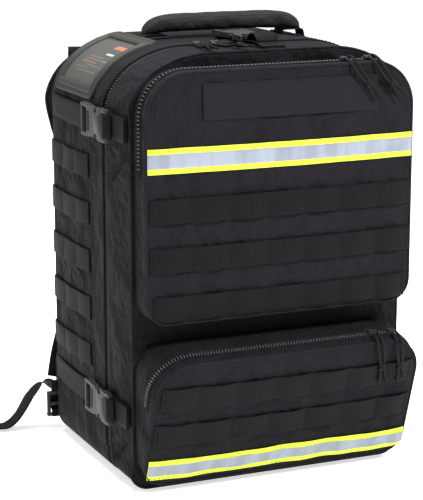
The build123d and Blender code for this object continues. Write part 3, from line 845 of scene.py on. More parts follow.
lid_a_low, lid_a_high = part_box("pocket_a_lid")
box_a_low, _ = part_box("pocket_a_box")
_, lid_b_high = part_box("pocket_b_lid")
A_FRONT = lid_a_low.y
RADIUS_A, RADIUS_B = 48 * MM, 42 * MM
B_LEAN = 17.6
pocket_a = Pocket("a", Face((0, A_FRONT, box_a_low.z)), 2 * lid_a_high.x, lid_a_high.z - box_a_low.z,
                  RADIUS_A, 156.5 * MM, DOOR_Y + 3 * MM - A_FRONT, 4.5 * MM)
pocket_b = Pocket("b", Face((0, -132 * MM, 8 * MM), B_LEAN, 157 * MM), 2 * lid_b_high.x, 149 * MM,
                  RADIUS_B, 88 * MM, 70 * MM, 4.0 * MM)

for pocket in (pocket_a, pocket_b):
    key, body = pocket.key, pocket.lid_body
    upper, lower = pocket.rim(1.2 * MM, -1.4 * MM, True), pocket.rim(1.2 * MM, -1.4 * MM, False)
    place(tube("piping_" + key + "_lid", [spot for spot, _ in upper], 1.7 * MM), body, FLAP, "fabric_black")
    place(tube("piping_" + key + "_box", [spot for spot, _ in lower], 1.7 * MM), "front_door", FLAP,
          "fabric_black")
    for depth, radius, part in ((-13.4 * MM, 1.2 * MM, "lip"), (-20.6 * MM, 1.3 * MM, "edge")):
        run = [spot for spot, _ in pocket.rim(-0.4 * MM, depth, True)]
        place(tube("binding_" + key + "_" + part, run, radius), body if part == "lip" else "front_door",
              FLAP, "fabric_black")
    run = pocket.rim(-0.3 * MM, -16.9 * MM, True)
    spots = [spot for spot, _ in run]
    chain = [(spot, way, along) for (spot, way), along in zip(run, tangents(spots))]
    place(teeth("zip_teeth_" + key, [chain], (1.5 * MM, 4.9 * MM, 1.6 * MM), 2.5 * MM), body, COIL, "zipper",
          "pocket_" + key + "_zip")


# ------------------------------ webbing rows and tapes on the pockets
TACKS = [-106.0 * MM + 43.0 * MM * step for step in range(6)]


def tack_marks(x0, x1):
    """Where a row is sewn down: near both ends and at the shared tacks."""
    return [x0 + 4 * MM, *[tack for tack in TACKS if x0 < tack < x1], x1 - 4 * MM]


def webbing_lift(x0, x1):
    """Rows stand a little off the pocket between their bar tacks."""
    marks = tack_marks(x0, x1)

    def lift(_, column):
        x = x0 + (x1 - x0) * column
        for low, high in zip(marks, marks[1:]):
            if low <= x <= high:
                return (0.2 + 2.6 * swell(x, low, high) ** 0.8) * MM
        return 0.25 * MM

    return lift


def tack_runs(pocket, x, low, high):
    """A bar tack at x: a column of short runs up a row."""
    found = []
    for step in range(13):
        up = low + (high - low) * (step + 0.5) / 13
        hit = pocket.hit(pocket.face.at(x, up, RAY))
        spot = (hit if hit else pocket.face.at(x, up, 0)) + pocket.face.out * 1.9 * MM
        found.append([(spot, pocket.face.out), (spot + Vector((TACK_STEP, 0, 0)), pocket.face.out)])
    return found


def front_row(name, pocket, low, x0, x1, body, *nodes):
    """A webbing row on a pocket's front, with its bar tacks."""
    rays = face_rays(pocket.face, x0, x1, low, low + WEB, 150)
    band = drape(name, pocket.tree, rays, webbing_lift(x0, x1), WEB_THICK)
    place(band, body, WEB_X, "webbing_black", *nodes)
    runs = []
    for x in tack_marks(x0, x1):
        runs += tack_runs(pocket, x, low + 2 * MM, low + WEB - 2 * MM)
    tacks = stitches(name + "_tacks", runs, TACK_SIZE, 1 * MM)
    place(tacks, body, CORD, "webbing_black")


for name, pocket, low, half, body, nodes in (
        ("row_a_1", pocket_a, 107.6, 150, "front_door", ("pocket_a_webbing",)),
        ("row_a_2", pocket_a, 56.8, 150, "front_door", ()),
        ("row_a_3", pocket_a, 6.0, 146, "front_door", ()),
        ("row_b_1", pocket_b, 98.0, 146, "lid_lower", ("pocket_b_webbing_upper",)),
        ("row_b_2", pocket_b, 54.0, 149, "front_door", ("pocket_b_webbing_lower",))):
    front_row(name, pocket, low * MM, -half * MM, half * MM, body, *nodes)


def tape(name, pocket, low, high, half, wave, wobble, lift, thick):
    """A sewn tape. wave lifts it off the pocket between stitches, and wobble bends its two edges."""
    columns, rows = 150, 7
    rays = []
    for r in range(rows):
        edge = wobble * (1 if r in (0, rows - 1) else 0.6)
        row = []
        for c in range(columns):
            x = -half + 2 * half * c / (columns - 1)
            bend = edge * smooth_noise(x * 38.0, low * 60.0, 0.4 + (r > rows / 2) * 2.2)
            row.append((pocket.face.at(x, low + (high - low) * r / (rows - 1) + bend, RAY), -pocket.face.out))
        rays.append(row)

    def height(row, column):
        ripple = 0.5 + 0.5 * smooth_noise(column * 11.0, row * 0.6, 3.0 + low * 90)
        return lift + wave * ripple * (0.4 + 0.6 * column)

    return drape(name, pocket.tree, rays, height, thick)


# pocket, body, half width, wave, then each layer's low and high edge and wobble
for pocket, level, body, half, wave, layers in (
        (pocket_a, "upper", "lid_upper", pocket_a.width / 2 - 0.6 * MM, 0.9,
         ((158.5, 184.5, 0.3), (164.2, 178.8, 0.3))),
        (pocket_b, "lower", "front_door", pocket_b.width / 2 - 3 * MM, 3.0,
         ((10, 34, 0.8), (15.4, 28.6, 1.6)))):
    under, over = [[value * MM for value in layer] for layer in layers]
    place(tape("tape_" + level, pocket, *under[:2], half, wave * MM, under[2], 0.3 * MM, 1.0 * MM), body,
          HI_VIS, "hi_vis", "hi_vis_tape_" + level)
    place(tape("strip_" + level, pocket, *over[:2], half, wave * MM, over[2], 1.35 * MM, 0.45 * MM), body,
          SILVER, "reflective", "reflective_strip_" + level)


def loop_lift(row, column):
    """The loop panel lies loosest along its lower edge."""
    uneven = 0.6 + 0.5 * smooth_noise(column * 9, row, 8.8)
    return (0.5 + 1.6 * swell(column, 0.03, 0.97) * (1 - row) * uneven) * MM


patch_rays = face_rays(pocket_a.face, -92 * MM, 108 * MM, 211 * MM, 248 * MM, 100, 12)
place(drape("loop_patch", pocket_a.tree, patch_rays, loop_lift, 1.2 * MM), "lid_upper", LOOP, "loop_pile",
      "loop_panel")


def sewn_line(pocket, x0, x1, up, rise, count=240):
    """A row of points on a pocket's front for sewing."""
    run = []
    for step in range(count):
        x = x0 + (x1 - x0) * step / (count - 1)
        hit = pocket.hit(pocket.face.at(x, up, RAY))
        if hit:
            run.append((hit + pocket.face.out * rise, pocket.face.out))
    return run


sewing = [sewn_line(pocket_a, -152 * MM, 152 * MM, up * MM, 1.5 * MM) for up in (161.2, 181.8)]
sewing += [sewn_line(pocket_a, -90 * MM, 106 * MM, 246.4 * MM, 1.9 * MM)]
place(stitches("sewing_lid_a", sewing), "lid_upper", CORD, "webbing_black")
sewing = [sewn_line(pocket_b, -150 * MM, 150 * MM, up * MM, 1.9 * MM) for up in (11.6, 32.4)]
place(stitches("sewing_tape_b", sewing), "front_door", CORD, "webbing_black")
for pocket in (pocket_a, pocket_b):
    for above, body in ((True, pocket.lid_body), (False, "front_door")):
        out = pocket.face.out
        found = [pocket.hit(spot + out * RAY) for spot, _ in pocket.rim(9 * MM, 0.9 * MM, above)]
        hits = [(hit, out) for hit in found if hit]
        place(stitches("sewing_rim_" + pocket.key + ("_lid" if above else "_box"), [finer(hits, 4)]), body,
              CORD, "fabric_black")


# ------------------------------ main zipper, storm flap and piping
def pack_run(offset, y, low=0.0, wave=0.0):
    """Points up one side of the pack, over its top and down the other, with their outward ways."""
    run = []
    for (x, up), (a, b) in zip(OUTLINE, outward(OUTLINE)):
        if up > low:
            push = offset + wave * smooth_noise(x * 20, up * 20, y * 30)
            run.append((Vector((x + a * push, y, up + b * push)), Vector((a, 0, b))))
    return run


def seam_band(name, y_rear, y_front, offset, low, thick, wave=0.0, columns=9):
    """A strip that follows the outline, thick outwards."""
    rows = []
    for step in range(columns):
        y = y_rear + (y_front - y_rear) * step / (columns - 1)
        rows.append([spot for spot, _ in pack_run(offset, y, low, wave)])
    band = make_object(name, [spot for row in rows for spot in row], grid_faces(columns, len(rows[0])))
    spot, way = pack_run(0, y_rear, low)[0]
    if band.data.polygons[0].normal.dot(way) < 0:
        band.data.flip_normals()
    thicken(band, thick, 1.0)
    apply_modifiers(band)
    return bevel(band, thick * 0.3, 2)


ZIP_LOW = 30 * MM
place(seam_band("flap", -18.6 * MM, -47.2 * MM, 0.25 * MM, ZIP_LOW, 1.4 * MM, 0.25 * MM),
      "pack", FLAP, "fabric_black", "storm_flap")
for name, y_rear, y_front, body, node in (
        ("zip_tape_rear", -49.4 * MM, -51.7 * MM, "pack", "main_zip_rear"),
        ("zip_tape_front", -52.3 * MM, -54.6 * MM, "front_door", "main_zip_front")):
    place(seam_band(name, y_rear, y_front, -3.2 * MM, ZIP_LOW, 1.2 * MM, 0, 3), body, FLAP, "zipper", node)
for y, body, name in ((-50.6 * MM, "pack", "rear"), (-53.4 * MM, "front_door", "front")):
    run = pack_run(-2.0 * MM, y, ZIP_LOW)
    dense = []
    for (first, way), (second, _) in zip(run, run[1:]):
        dense += [(first.lerp(second, share / 6), way, (second - first).normalized()) for share in range(6)]
    place(teeth("zip_coil_" + name, [dense], (1.4 * MM, 2.3 * MM, 1.5 * MM), 2.4 * MM), body, COIL, "zipper")
for y, body, name in ((-48.6 * MM, "pack", "rear"), (-55.6 * MM, "front_door", "front"),
                      (DOOR_Y + 1.2 * MM, "front_door", "door"), (BACK_Y - 1.2 * MM, "pack", "back")):
    low = ZIP_LOW if name in ("rear", "front") else -1.0
    offset = {"door": -0.6 * MM, "back": -1.8 * MM}.get(name, -1.4 * MM)
    taper = 4.2 * MM if name == "door" else 0.0
    spots = [spot - way * taper * max(0.0, 1 - 3 * abs(way.z)) for spot, way in pack_run(offset, y, low)]
    place(tube("piping_" + name, spots, 1.5 * MM, low < 0), body, FLAP, "fabric_black")
sewn = [finer(pack_run(1.75 * MM, y, ZIP_LOW), 4) for y in (-20.6 * MM, -45.0 * MM)]
place(stitches("sewing_flap", sewn), "pack", CORD, "fabric_black")


# ------------------------------ side webbing, straps and stubs
def row_lift(_, column):
    """Rows stand off the side between their three tacks."""
    marks = (0.0, 0.02, 0.35, 0.68, 0.96, 1.0)
    for low, high in zip(marks, marks[1:]):
        if low <= column <= high:
            return (0.25 + 1.3 * swell(column, low, high) * (high - low) * 3) * MM
    return 0.25 * MM


def side_row(side, top, rear=115 * MM, front=-4 * MM, columns=50, steps=6):
    """A webbing row laid on one side of the pack, from its rear end to its front end."""
    way = Vector((-side, 0, 0))
    rays = [[(Vector((side * (HALF + RAY), rear + (front - rear) * column / (columns - 1),
                      top - WEB + WEB * step / (steps - 1))), way)
             for column in range(columns)] for step in range(steps)]
    return drape("row", pack_tree, rays, row_lift, WEB_THICK)


for side, word in ((-1, "left"), (1, "right")):
    rows = [side_row(side, top) for top in ROW_TOPS]
    nodes = ("side_webbing",) if side < 0 else ()
    place(join("side_rows_" + word, rows), "pack", WEB_Y, "webbing_black", *nodes)
    out = Vector((side, 0, 0))
    sewn = []
    for top in ROW_TOPS:
        for y in (113 * MM, 74 * MM, 34 * MM, -1 * MM):
            for step in range(12):
                up = top - WEB + 2 * MM + step * 1.85 * MM
                spot = pack_tree.ray_cast(Vector((side * (HALF + RAY), y, up)), -out)[0] + out * 1.95 * MM
                sewn.append([(spot, out), (spot + Vector((0, -TACK_STEP, 0)), out)])
    place(stitches("side_tacks_" + word, sewn, TACK_SIZE, 1 * MM), "pack", CORD, "webbing_black")

STRAP_IN = HALF + 1.9 * MM
BUCKLE_IN = STRAP_IN + 1.6 * MM + 0.3 * MM


def side_strap(side, height, sag, rear=114 * MM, front=-27 * MM, count=40):
    """A compression strap that hangs a little between its seam and its buckle."""
    spots = []
    for step in range(count):
        share = step / (count - 1)
        out = STRAP_IN - 1.2 * MM * max(0.0, 1 - share * 8) + 0.8 * MM * swell(share, 0.15, 0.85)
        drop = -sag * math.sin(math.pi * share)
        spots.append(Vector((side * out, rear + (front - rear) * share, height + drop)))
    return ribbon("strap", spots, [Vector((0, 0, -side))] * count, WEB, WEB_THICK)


straps = [side_strap(side, height, sag) for side in (-1, 1)
          for height, sag in zip(STRAP_HEIGHTS, (1.0 * MM, 2.6 * MM))]
place(join("side_straps", straps), "pack", WEB_Y, "webbing_black", "compression_straps")

stubs = []
for side in (-1, 1):
    for height in STRAP_HEIGHTS:
        for layer in (0.0, 1.7 * MM):
            spots = []
            for step in range(16):
                share = step / 15
                y = -64 * MM + (-47 * MM) * share
                rise = (1 - share) * 1.4 * MM if layer else 0.0
                spots.append(Vector((side * (HALF + 0.4 * MM + layer + rise), y, height)))
            stubs.append(ribbon("stub", spots, [Vector((0, 0, -side))] * 16, WEB, WEB_THICK))
place(join("side_stub_webbing", stubs), "front_door", WEB_Y, "webbing_black", "side_stubs")


# ------------------------------ side-release buckles
def buckle_matrix(origin, along, out):
    """X towards the socket, Z outwards."""
    across = out.cross(along)
    matrix = Matrix((along, across, out)).transposed().to_4x4()
    matrix.translation = origin
    return matrix


def mirrored(points):
    """An outline turned over its long axis."""
    return [(x, -y) for x, y in reversed(points)]


def box2(x0, x1, y0, y1):
    """A rectangle as an outline."""
    return [(x0, y0), (x1, y0), (x1, y1), (x0, y1)]


def scale_shapes(shapes):
    """Outlines with their low and high sides, from millimetres to metres."""
    return [([(x * MM, y * MM) for x, y in outline], low * MM, high * MM) for outline, low, high in shapes]


ARM = [(-9, 8.5), (-3, 8.0), (6, 9.6), (13.6, 8.8), (14.6, 11), (12.5, 15.2), (9.5, 16.9), (4.5, 16.6),
       (3.4, 13.8), (-2, 12.6), (-9, 14)]
PLUG_SHAPES = scale_shapes([
    (box2(-36, -32.8, -17.5, 17.5), 0.4, 5.8), (box2(-28.2, -25, -14, 14), 1.0, 5.6),
    (box2(-36, -14, 13.6, 17.5), 0.0, 6.2), (box2(-36, -14, -17.5, -13.6), 0.0, 6.2),
    ([(-19.5, -17.2), (-19.5, 17.2), (-8, 16.4), (-3.4, 15.2), (-0.6, 12.5), (-0.6, -12.5), (-3.4, -15.2),
      (-8, -16.4)], 0.2, 6.0),
    (box2(-17.6, -16.4, -11, 11), 5.6, 6.7), (box2(-15.0, -13.8, -11, 11), 5.6, 6.7),
    (box2(-12.4, -11.2, -11, 11), 5.6, 6.7),
    (ARM, 1.7, 4.5), (mirrored(ARM), 1.7, 4.5),
    ([(-3, -2.6), (14, -2.2), (16, 0), (14, 2.2), (-3, 2.6)], 2.1, 4.1)])
MOUTH = [(0.4, -14.8), (1.4, -16.3), (3.2, -16.6), (4.3, -12.8), (6.0, -11.2), (11.0, -11.2), (13.2, -13.0),
         (15.0, -17.4), (20, -17.5), (20, 17.5), (15.0, 17.4), (13.2, 13.0), (11.0, 11.2), (6.0, 11.2),
         (4.3, 12.8), (3.2, 16.6), (1.4, 16.3), (0.4, 14.8)]
SOCKET_SHAPES = scale_shapes([
    (MOUTH, 0.0, 1.4), (MOUTH, 4.8, 6.3),
    (box2(16.4, 26.8, -17.4, 17.4), 0.1, 6.2), (box2(24, 35.6, 13.6, 17.4), 0.1, 6.1),
    (box2(24, 35.6, -17.4, -13.6), 0.1, 6.1), (box2(32.2, 35.7, -17.4, 17.4), 0.5, 5.9),
    ([(5.5, -7.5), (19.5, -9.5), (21.5, 0), (19.5, 9.5), (5.5, 7.5)], 6.0, 6.8),
    (box2(23.2, 24.4, -12, 12), 5.8, 6.9)])


# the webbing's turns over the plug's bars and over the socket's bar, as (x, z)
PLUG_TURN = ((-37, -1.5), (-34, -1.3), (-31.5, 0.4), (-29.6, 5.0), (-26.6, 7.0), (-23.4, 5.2), (-21.4, 0.6),
             (-24.5, -1.1), (-30, -1.4))
SOCKET_TURN = ((38.5, -1.0), (34, -1.3), (30.6, -0.8), (29.4, 2.8), (30.6, 6.6), (34.0, 7.4), (37.4, 5.4),
               (41, 1.8))


def turned_webbing(name, matrix, turn):
    """Webbing that turns over a buckle's bar."""
    spots = curve_points([matrix @ Vector((x * MM, 0, z * MM)) for x, z in turn], 30)
    across = (matrix.to_3x3() @ Vector((0, 1, 0))).normalized()
    return ribbon(name, spots, [across] * 30, WEB, 1.2 * MM)


def place_plug(name, matrix):
    """A plug with its webbing, on the body that slides."""
    place(slabs("buckle_" + name, PLUG_SHAPES, matrix), "plug_" + name, PLASTIC, "plastic_black",
          "buckle_plug_" + name)
    place(turned_webbing("turn_" + name, matrix, PLUG_TURN), "plug_" + name, WEB_Y, "webbing_black")


socket_parts, socket_turns = [], []
for side, word in ((-1, "left"), (1, "right")):
    for height, level in zip(STRAP_HEIGHTS, ("upper", "lower")):
        origin = Vector((side * BUCKLE_IN, -40 * MM, height))
        matrix = buckle_matrix(origin, Vector((0, -1, 0)), Vector((side, 0, 0)))
        place_plug(level + "_" + word, matrix)
        socket_parts.append(slabs("socket", SOCKET_SHAPES, matrix))
        socket_turns.append(turned_webbing("turn", matrix, SOCKET_TURN))
place(join("side_sockets", socket_parts), "front_door", PLASTIC, "plastic_black", "side_buckle_sockets")
place(join("side_socket_webbing", socket_turns), "front_door", WEB_Y, "webbing_black")

top_matrix = buckle_matrix(Vector((6 * MM, -26 * MM, TOP + 3.8 * MM)), Vector((0, -1, 0)), Vector((0, 0, 1)))
place_plug("top", top_matrix)
place(slabs("socket_top", SOCKET_SHAPES, top_matrix), "front_door", PLASTIC, "plastic_black",
      "buckle_socket_top")
place(turned_webbing("turn_socket_top", top_matrix, SOCKET_TURN), "front_door", WEB_Y, "webbing_black")

spots = [Vector((6 * MM, (18 - 32 * step / 19) * MM, TOP + (0.6 + 1.6 * math.sin(math.pi * step / 38)) * MM))
         for step in range(20)]
place(ribbon("strap_top", spots, [Vector((-1, 0, 0))] * 20, WEB, WEB_THICK), "pack", WEB_Y, "webbing_black",
      "top_strap")
layers = []
for layer in (0.0, 1.7 * MM):
    spots = []
    for step in range(20):
        share = step / 19
        y = (-56 - 55 * share) * MM
        rise = (1 - share) * 2.0 * MM + 1.6 * MM * swell(share, 0.15, 0.9)
        spots.append(Vector((6 * MM, y, TOP + 0.3 * MM + layer + (rise if layer else 0.0))))
    layers.append(ribbon("stub", spots, [Vector((-1, 0, 0))] * 20, WEB, WEB_THICK))
loop = ((-67, 3.4), (-71, 8.5), (-79, 13.2), (-88, 11.6), (-92, 6.4), (-88, 3.2))
spots = route([(6, y, TOP / MM + z) for y, z in loop], 30)
layers.append(ribbon("loop", spots, [Vector((-1, 0, 0))] * 30, WEB, WEB_THICK))
place(join("top_stub_webbing", layers), "front_door", WEB_Y, "webbing_black", "top_stub")


# ------------------------------ identity window
WINDOW_START, WINDOW_END = 100, 172      # degrees round the corner


def window_point(degrees, y, lift):
    """A point on the rounded top corner, by angle, lifted off it."""
    angle = math.radians(degrees)
    way = Vector((math.cos(angle) / CORNER_REACH, 0, math.sin(angle) / CORNER_HIGH)).normalized()
    spot = Vector((CORNER.x + CORNER_REACH * math.cos(angle), y, CORNER.z + CORNER_HIGH * math.sin(angle)))
    return spot + way * lift


def window_loop(inset, lift, rear=101 * MM, front=-16 * MM, radius=9 * MM):
    """A rounded rectangle laid round the corner's curve."""
    reach = math.radians(WINDOW_END - WINDOW_START) * CORNER_HIGH
    loop = []
    a0, a1, b0, b1 = inset, reach - inset, front + inset, rear - inset
    turn = max(radius - inset * 0.6, 2 * MM)
    for a, b, start in ((a1 - turn, b0 + turn, -90), (a1 - turn, b1 - turn, 0),
                        (a0 + turn, b1 - turn, 90), (a0 + turn, b0 + turn, 180)):
        for step in range(9):
            angle = math.radians(start + 90 * step / 8)
            loop.append((a + turn * math.cos(angle), b + turn * math.sin(angle)))
    dense = []
    for (p, q), (r, s) in zip(loop, loop[1:] + loop[:1]):
        for step in range(6):
            dense.append((p + (r - p) * step / 6, q + (s - q) * step / 6))
    return [window_point(WINDOW_START + math.degrees(a / CORNER_HIGH), b, lift) for a, b in dense]


rings = [window_loop(inset * MM, lift * MM) for inset, lift in
         ((0.0, 1.0), (0.1, 3.4), (0.9, 4.3), (2.3, 4.2), (3.2, 3.0), (5.6, 2.9), (6.6, 4.2), (7.6, 4.6),
          (10.2, 4.4), (12.4, 3.2), (12.9, 2.0), (12.0, 0.9), (0.0, 1.0))]
place(fair_normals(loft("window_rim", rings, False)), "pack", FRAME_RIM, "window_frame",
      "id_window_frame")


def window_patch(name, start, end, rear, front, lift, thick, material, body, slot, *nodes):
    """A thin piece on the rounded top corner, between two angles."""
    columns, rows = 24, 12
    points = []
    for r in range(rows):
        y = rear + (front - rear) * r / (rows - 1)
        points += [window_point(start + (end - start) * c / (columns - 1), y, lift) for c in range(columns)]
    patch = make_object(name, points, grid_faces(rows, columns))
    centre = Vector((CORNER.x, points[0].y, CORNER.z))
    if patch.data.polygons[0].normal.dot(points[0] - centre) < 0:
        patch.data.flip_normals()
    thicken(patch, thick, 1.0)
    apply_modifiers(patch)
    return place(patch, body, material, slot, *nodes)


window_patch("window_film", 111.2, 160.8, 88.4 * MM, -3.4 * MM, 1.8 * MM, 0.35 * MM, FILM, "pack",
             "window_film", "id_window_film")


def printed(name, color):
    """Printed card: ink with a slight mottle."""
    nodes = Nodes(name)
    blot = nodes.noise(120.0, 3.0)
    nodes.link(nodes.mix(blot.outputs["Fac"], tint(color, 0.8), tint(color, 1.15)),
               nodes.shader.inputs["Base Color"])
    nodes.bump(blot.outputs["Fac"], 0.1, 0.1 * MM)
    nodes.set(Roughness=0.5)
    return nodes.material


CARD = printed("card_stock", (0.020, 0.021, 0.018))
window_patch("card_sheet", 104.5, 167.5, 98.5 * MM, -11.5 * MM, 0.35 * MM, 0.5 * MM, CARD, "card", "card",
             "id_card")
RUST, SAND = (0.16, 0.065, 0.025), (0.10, 0.085, 0.055)
PRINTS = (("orange", (0.50, 0.13, 0.035), 117.5, 122.0, 34, 3),
          ("white", (0.50, 0.50, 0.47), 128.0, 130.2, 30, 10),
          ("line_a", RUST, 133.5, 135.0, 62, 22), ("line_b", SAND, 136.5, 138.0, 66, 8),
          ("line_c", RUST, 139.5, 141.2, 70, 30), ("line_d", SAND, 142.8, 144.2, 52, 6),
          ("line_e", RUST, 146.0, 147.2, 72, 40), ("line_f", SAND, 149.0, 150.2, 60, 12))
for word, color, start, end, rear, front in PRINTS:
    window_patch("card_" + word, start, end, rear * MM, front * MM, 0.86 * MM, 0.12 * MM,
                 printed("ink_" + word, color), "card", "card")


# ------------------------------ grab handle
HANDLE_X, HANDLE_Y, HANDLE_HALF = 13 * MM, 40 * MM, 95 * MM


def handle_ring(x):
    """One section of the padded handle: full in the middle, flat and narrow at its ends."""
    u = min(abs(x - HANDLE_X) / HANDLE_HALF, 1.0)
    rise = (1 - u ** 8) ** 0.62
    centre = 464.6 * MM + (10.6 * rise + 1.2 * (1 - u * u)) * MM
    deep = (4.0 + 12.0 * rise) * MM
    tall = (1.2 + 8.4 * rise) * MM
    ring = []
    for step in range(32):
        angle = 2 * math.pi * step / 32
        c, s = math.cos(angle), math.sin(angle)
        a = math.copysign(abs(c) ** 0.75, c)
        b = math.copysign(abs(s) ** 0.85, s)
        wave = 1 + 0.07 * smooth_noise(x * 60, c * 1.2, s * 1.2)
        ring.append(Vector((x, HANDLE_Y + deep * a * wave, centre + tall * b * wave)))
    return ring


handle = fair_normals(loft("handle_pad", [handle_ring((-82 + 190 * step / 70) * MM) for step in range(71)]))
place(handle, "handle", GRIP, "handle_grip", "grab_handle")
sewn = []
for a in (-1, 1):
    run = []
    for step in range(260):
        ring = handle_ring((-74 + 174 * step / 259) * MM)
        run.append((ring[13 if a < 0 else 3] + Vector((0, 0, 0.1 * MM)), Vector((0, 0, 1))))
    sewn.append(run)
place(stitches("handle_sewing", sewn), "handle", CORD, "handle_grip")
bases, sewn = [], []
DOWN = Vector((0, 0, -1))


def top_height(x, y):
    """How high the pack's top skin stands at x, y."""
    return pack_tree.ray_cast(Vector((x, y, TOP + RAY)), DOWN)[0].z


for x, inner in ((-72 * MM, 1), (98 * MM, -1)):
    rays = [[(Vector((x + (c - 7) / 7 * 17 * MM, (22 + 36 * r / 9) * MM, TOP + RAY)), DOWN)
             for c in range(15)] for r in range(10)]
    bases.append(drape("base", pack_tree, rays, lambda *_: 0.3 * MM, 2.2 * MM))
    foot = x - inner * 12 * MM
    climb = curve_points([Vector((foot, HANDLE_Y, top_height(foot, HANDLE_Y) + 2.4 * MM)),
                          Vector((x - inner * 10 * MM, HANDLE_Y, TOP + 2.6 * MM)),
                          Vector((x - inner * 4 * MM, HANDLE_Y, TOP + 3.4 * MM)),
                          Vector((x + inner * 10 * MM, HANDLE_Y, TOP + 3.4 * MM)),
                          Vector((x + inner * 15 * MM, HANDLE_Y, TOP + 2.4 * MM))], 24)
    bases.append(ribbon("bridge", climb, [Vector((0, -inner, 0))] * 24, 20 * MM, 1.6 * MM))
    corners = [(x - 14 * MM, 25 * MM), (x + 14 * MM, 25 * MM), (x + 14 * MM, 55 * MM), (x - 14 * MM, 55 * MM)]
    for first, second in ((0, 1), (1, 2), (2, 3), (3, 0), (0, 2), (1, 3)):
        run = []
        for step in range(60):
            a, b = corners[first], corners[second]
            px, py = a[0] + (b[0] - a[0]) * step / 59, a[1] + (b[1] - a[1]) * step / 59
            run.append((Vector((px, py, top_height(px, py) + 2.65 * MM)), Vector((0, 0, 1))))
        sewn.append(run)
place(join("handle_patches", bases), "pack", FLAP, "fabric_black", "handle_anchors")
place(stitches("handle_patch_sewing", sewn), "pack", CORD, "fabric_black")


# ------------------------------ back pads, yoke and shoulder straps
def pillow(name, middle, half_x, half_z, rear, thick, channels):
    """A pad on the back: a domed grid with channels across it, closed at its back."""
    columns, rows = 34, 90
    points = []
    for layer in (0, 1):
        for r in range(rows):
            for c in range(columns):
                u, v = 2 * c / (columns - 1) - 1, 2 * r / (rows - 1) - 1
                round_x = half_x * (1 - max(0.0, abs(v) - 0.86) ** 2 * 9)
                x = middle[0] + u * round_x
                z = middle[1] + v * half_z * (1 - max(0.0, abs(u) - 0.75) ** 2 * 0.35)
                dome = max(0.0, 1 - abs(u) ** 6) ** 0.6 * max(0.0, 1 - abs(v) ** 20) ** 0.6
                dip = sum(math.exp(-((v - mark) / 0.025) ** 2) for mark in channels)
                height = thick * dome * (1 - 0.55 * min(dip, 1.0))
                height += 0.5 * MM * smooth_noise(x * 30, z * 30, 2.2)
                points.append(Vector((x, rear + (height if layer else -0.2 * MM), z)))
    count = rows * columns
    faces = [tuple(layer * count + index for index in face)
             for layer in (0, 1) for face in grid_faces(rows, columns)]
    rim = list(range(columns)) + [r * columns + columns - 1 for r in range(1, rows)]
    rim += [(rows - 1) * columns + c for c in range(columns - 2, -1, -1)]
    rim += [r * columns for r in range(rows - 2, 0, -1)]
    for first, second in zip(rim, rim[1:] + rim[:1]):
        faces.append((first, second, count + second, count + first))
    return fair_normals(make_object(name, points, faces))


for side, word in ((-1, "left"), (1, "right")):
    pad = pillow("back_pad_" + word, (side * 72 * MM, 218 * MM), 59 * MM, 178 * MM,
                 BACK_Y + 0.4 * MM, 13.4 * MM, (-0.6, -0.2, 0.2, 0.6))
    nodes = ("back_pads",) if side < 0 else ()
    place(pad, "pack", MESH, "mesh_pad", *nodes)

yoke_spots = [Vector((x * MM, BACK_Y + 0.4 * MM, (432 + 1.2 * math.cos(x / 30)) * MM))
              for x in range(-140, 141, 5)]
place(ribbon("yoke_band", yoke_spots, [Vector((0, 0, 1))] * len(yoke_spots), 27.5 * MM, 3 * MM), "pack",
      FLAP, "fabric_black", "shoulder_yoke")

SPLAY = math.radians(15.3)
LANE = curve_points([Vector((x * MM, 0, z * MM)) for x, z in
                     ((88, 456), (99, 430), (114, 388), (109, 350), (101, 318), (97, 270), (101, 230),
                      (113, 182))], 60)
STRAP_ROUTE = [(123.5, 0), (136, 0.5), (150, -3), (166, -17), (172.5, -38), (172, -80), (164, -120),
               (155, -155), (149, -196), (145, -236)]
WEB_ROUTE = [(145.5, -240), (145.4, -262), (147, -302), (150.5, -342), (149, -368), (143, -391)]

ARCH_END = 25                    # the strap's section where its top arch ends


def lane_x(z):
    """Where the middle of a shoulder strap runs at a height: it has an S curve."""
    for above, below in zip(LANE, LANE[1:]):
        if below.z <= z <= above.z:
            return below.x + (above.x - below.x) * (z - below.z) / (above.z - below.z)
    return LANE[0].x if z > LANE[0].z else LANE[-1].x


def strap_spot(side, y, up, across):
    """A point on a shoulder strap: y from the back, up it and across its width."""
    z = 432 * MM + up
    return Vector((side * lane_x(z) + across, y, z))


def web_spot(side, y, up, across):
    """A point on the narrow webbing below the strap, which leans outwards."""
    return Vector((side * 48.6 * MM + across * math.cos(SPLAY) - side * up * math.sin(SPLAY), y,
                   432 * MM + side * across * math.sin(SPLAY) + up * math.cos(SPLAY)))


def strap_rings(side, sections):
    """The sections of a shoulder strap along its route."""
    spots = route([(y, up, 0) for y, up in STRAP_ROUTE], sections)
    ways = tangents(spots)
    rings = []
    for index, (spot, way) in enumerate(zip(spots, ways)):
        share = index / (sections - 1)
        wide = (34 - 7.5 * max(0.0, (share - 0.45) / 0.55) ** 1.3) * MM
        wide *= 0.74 + 0.26 * min(1.0, share / 0.3)
        if share > 0.965:
            wide *= 1 - 9 * (share - 0.965)
        full = min(1.0, 0.35 + share * 9, 0.35 + (1 - share) * 9)
        thick = 7 * MM * full * (1 + 0.05 * smooth_noise(share * 14, side, 1.0))
        normal = Vector((-way.y, way.x, 0))
        ring = []
        for step in range(36):
            angle = 2 * math.pi * step / 36
            c, s = math.cos(angle), math.sin(angle)
            a = math.copysign(abs(c) ** 0.42, c)
            edge = abs(a) ** 9
            b = math.copysign(abs(s) ** 0.9, s) * (1 - 0.45 * edge)
            at = spot + normal * thick * b
            ring.append(strap_spot(side, at.x, at.y, a * wide))
        rings.append(ring)
    return rings, spots, ways


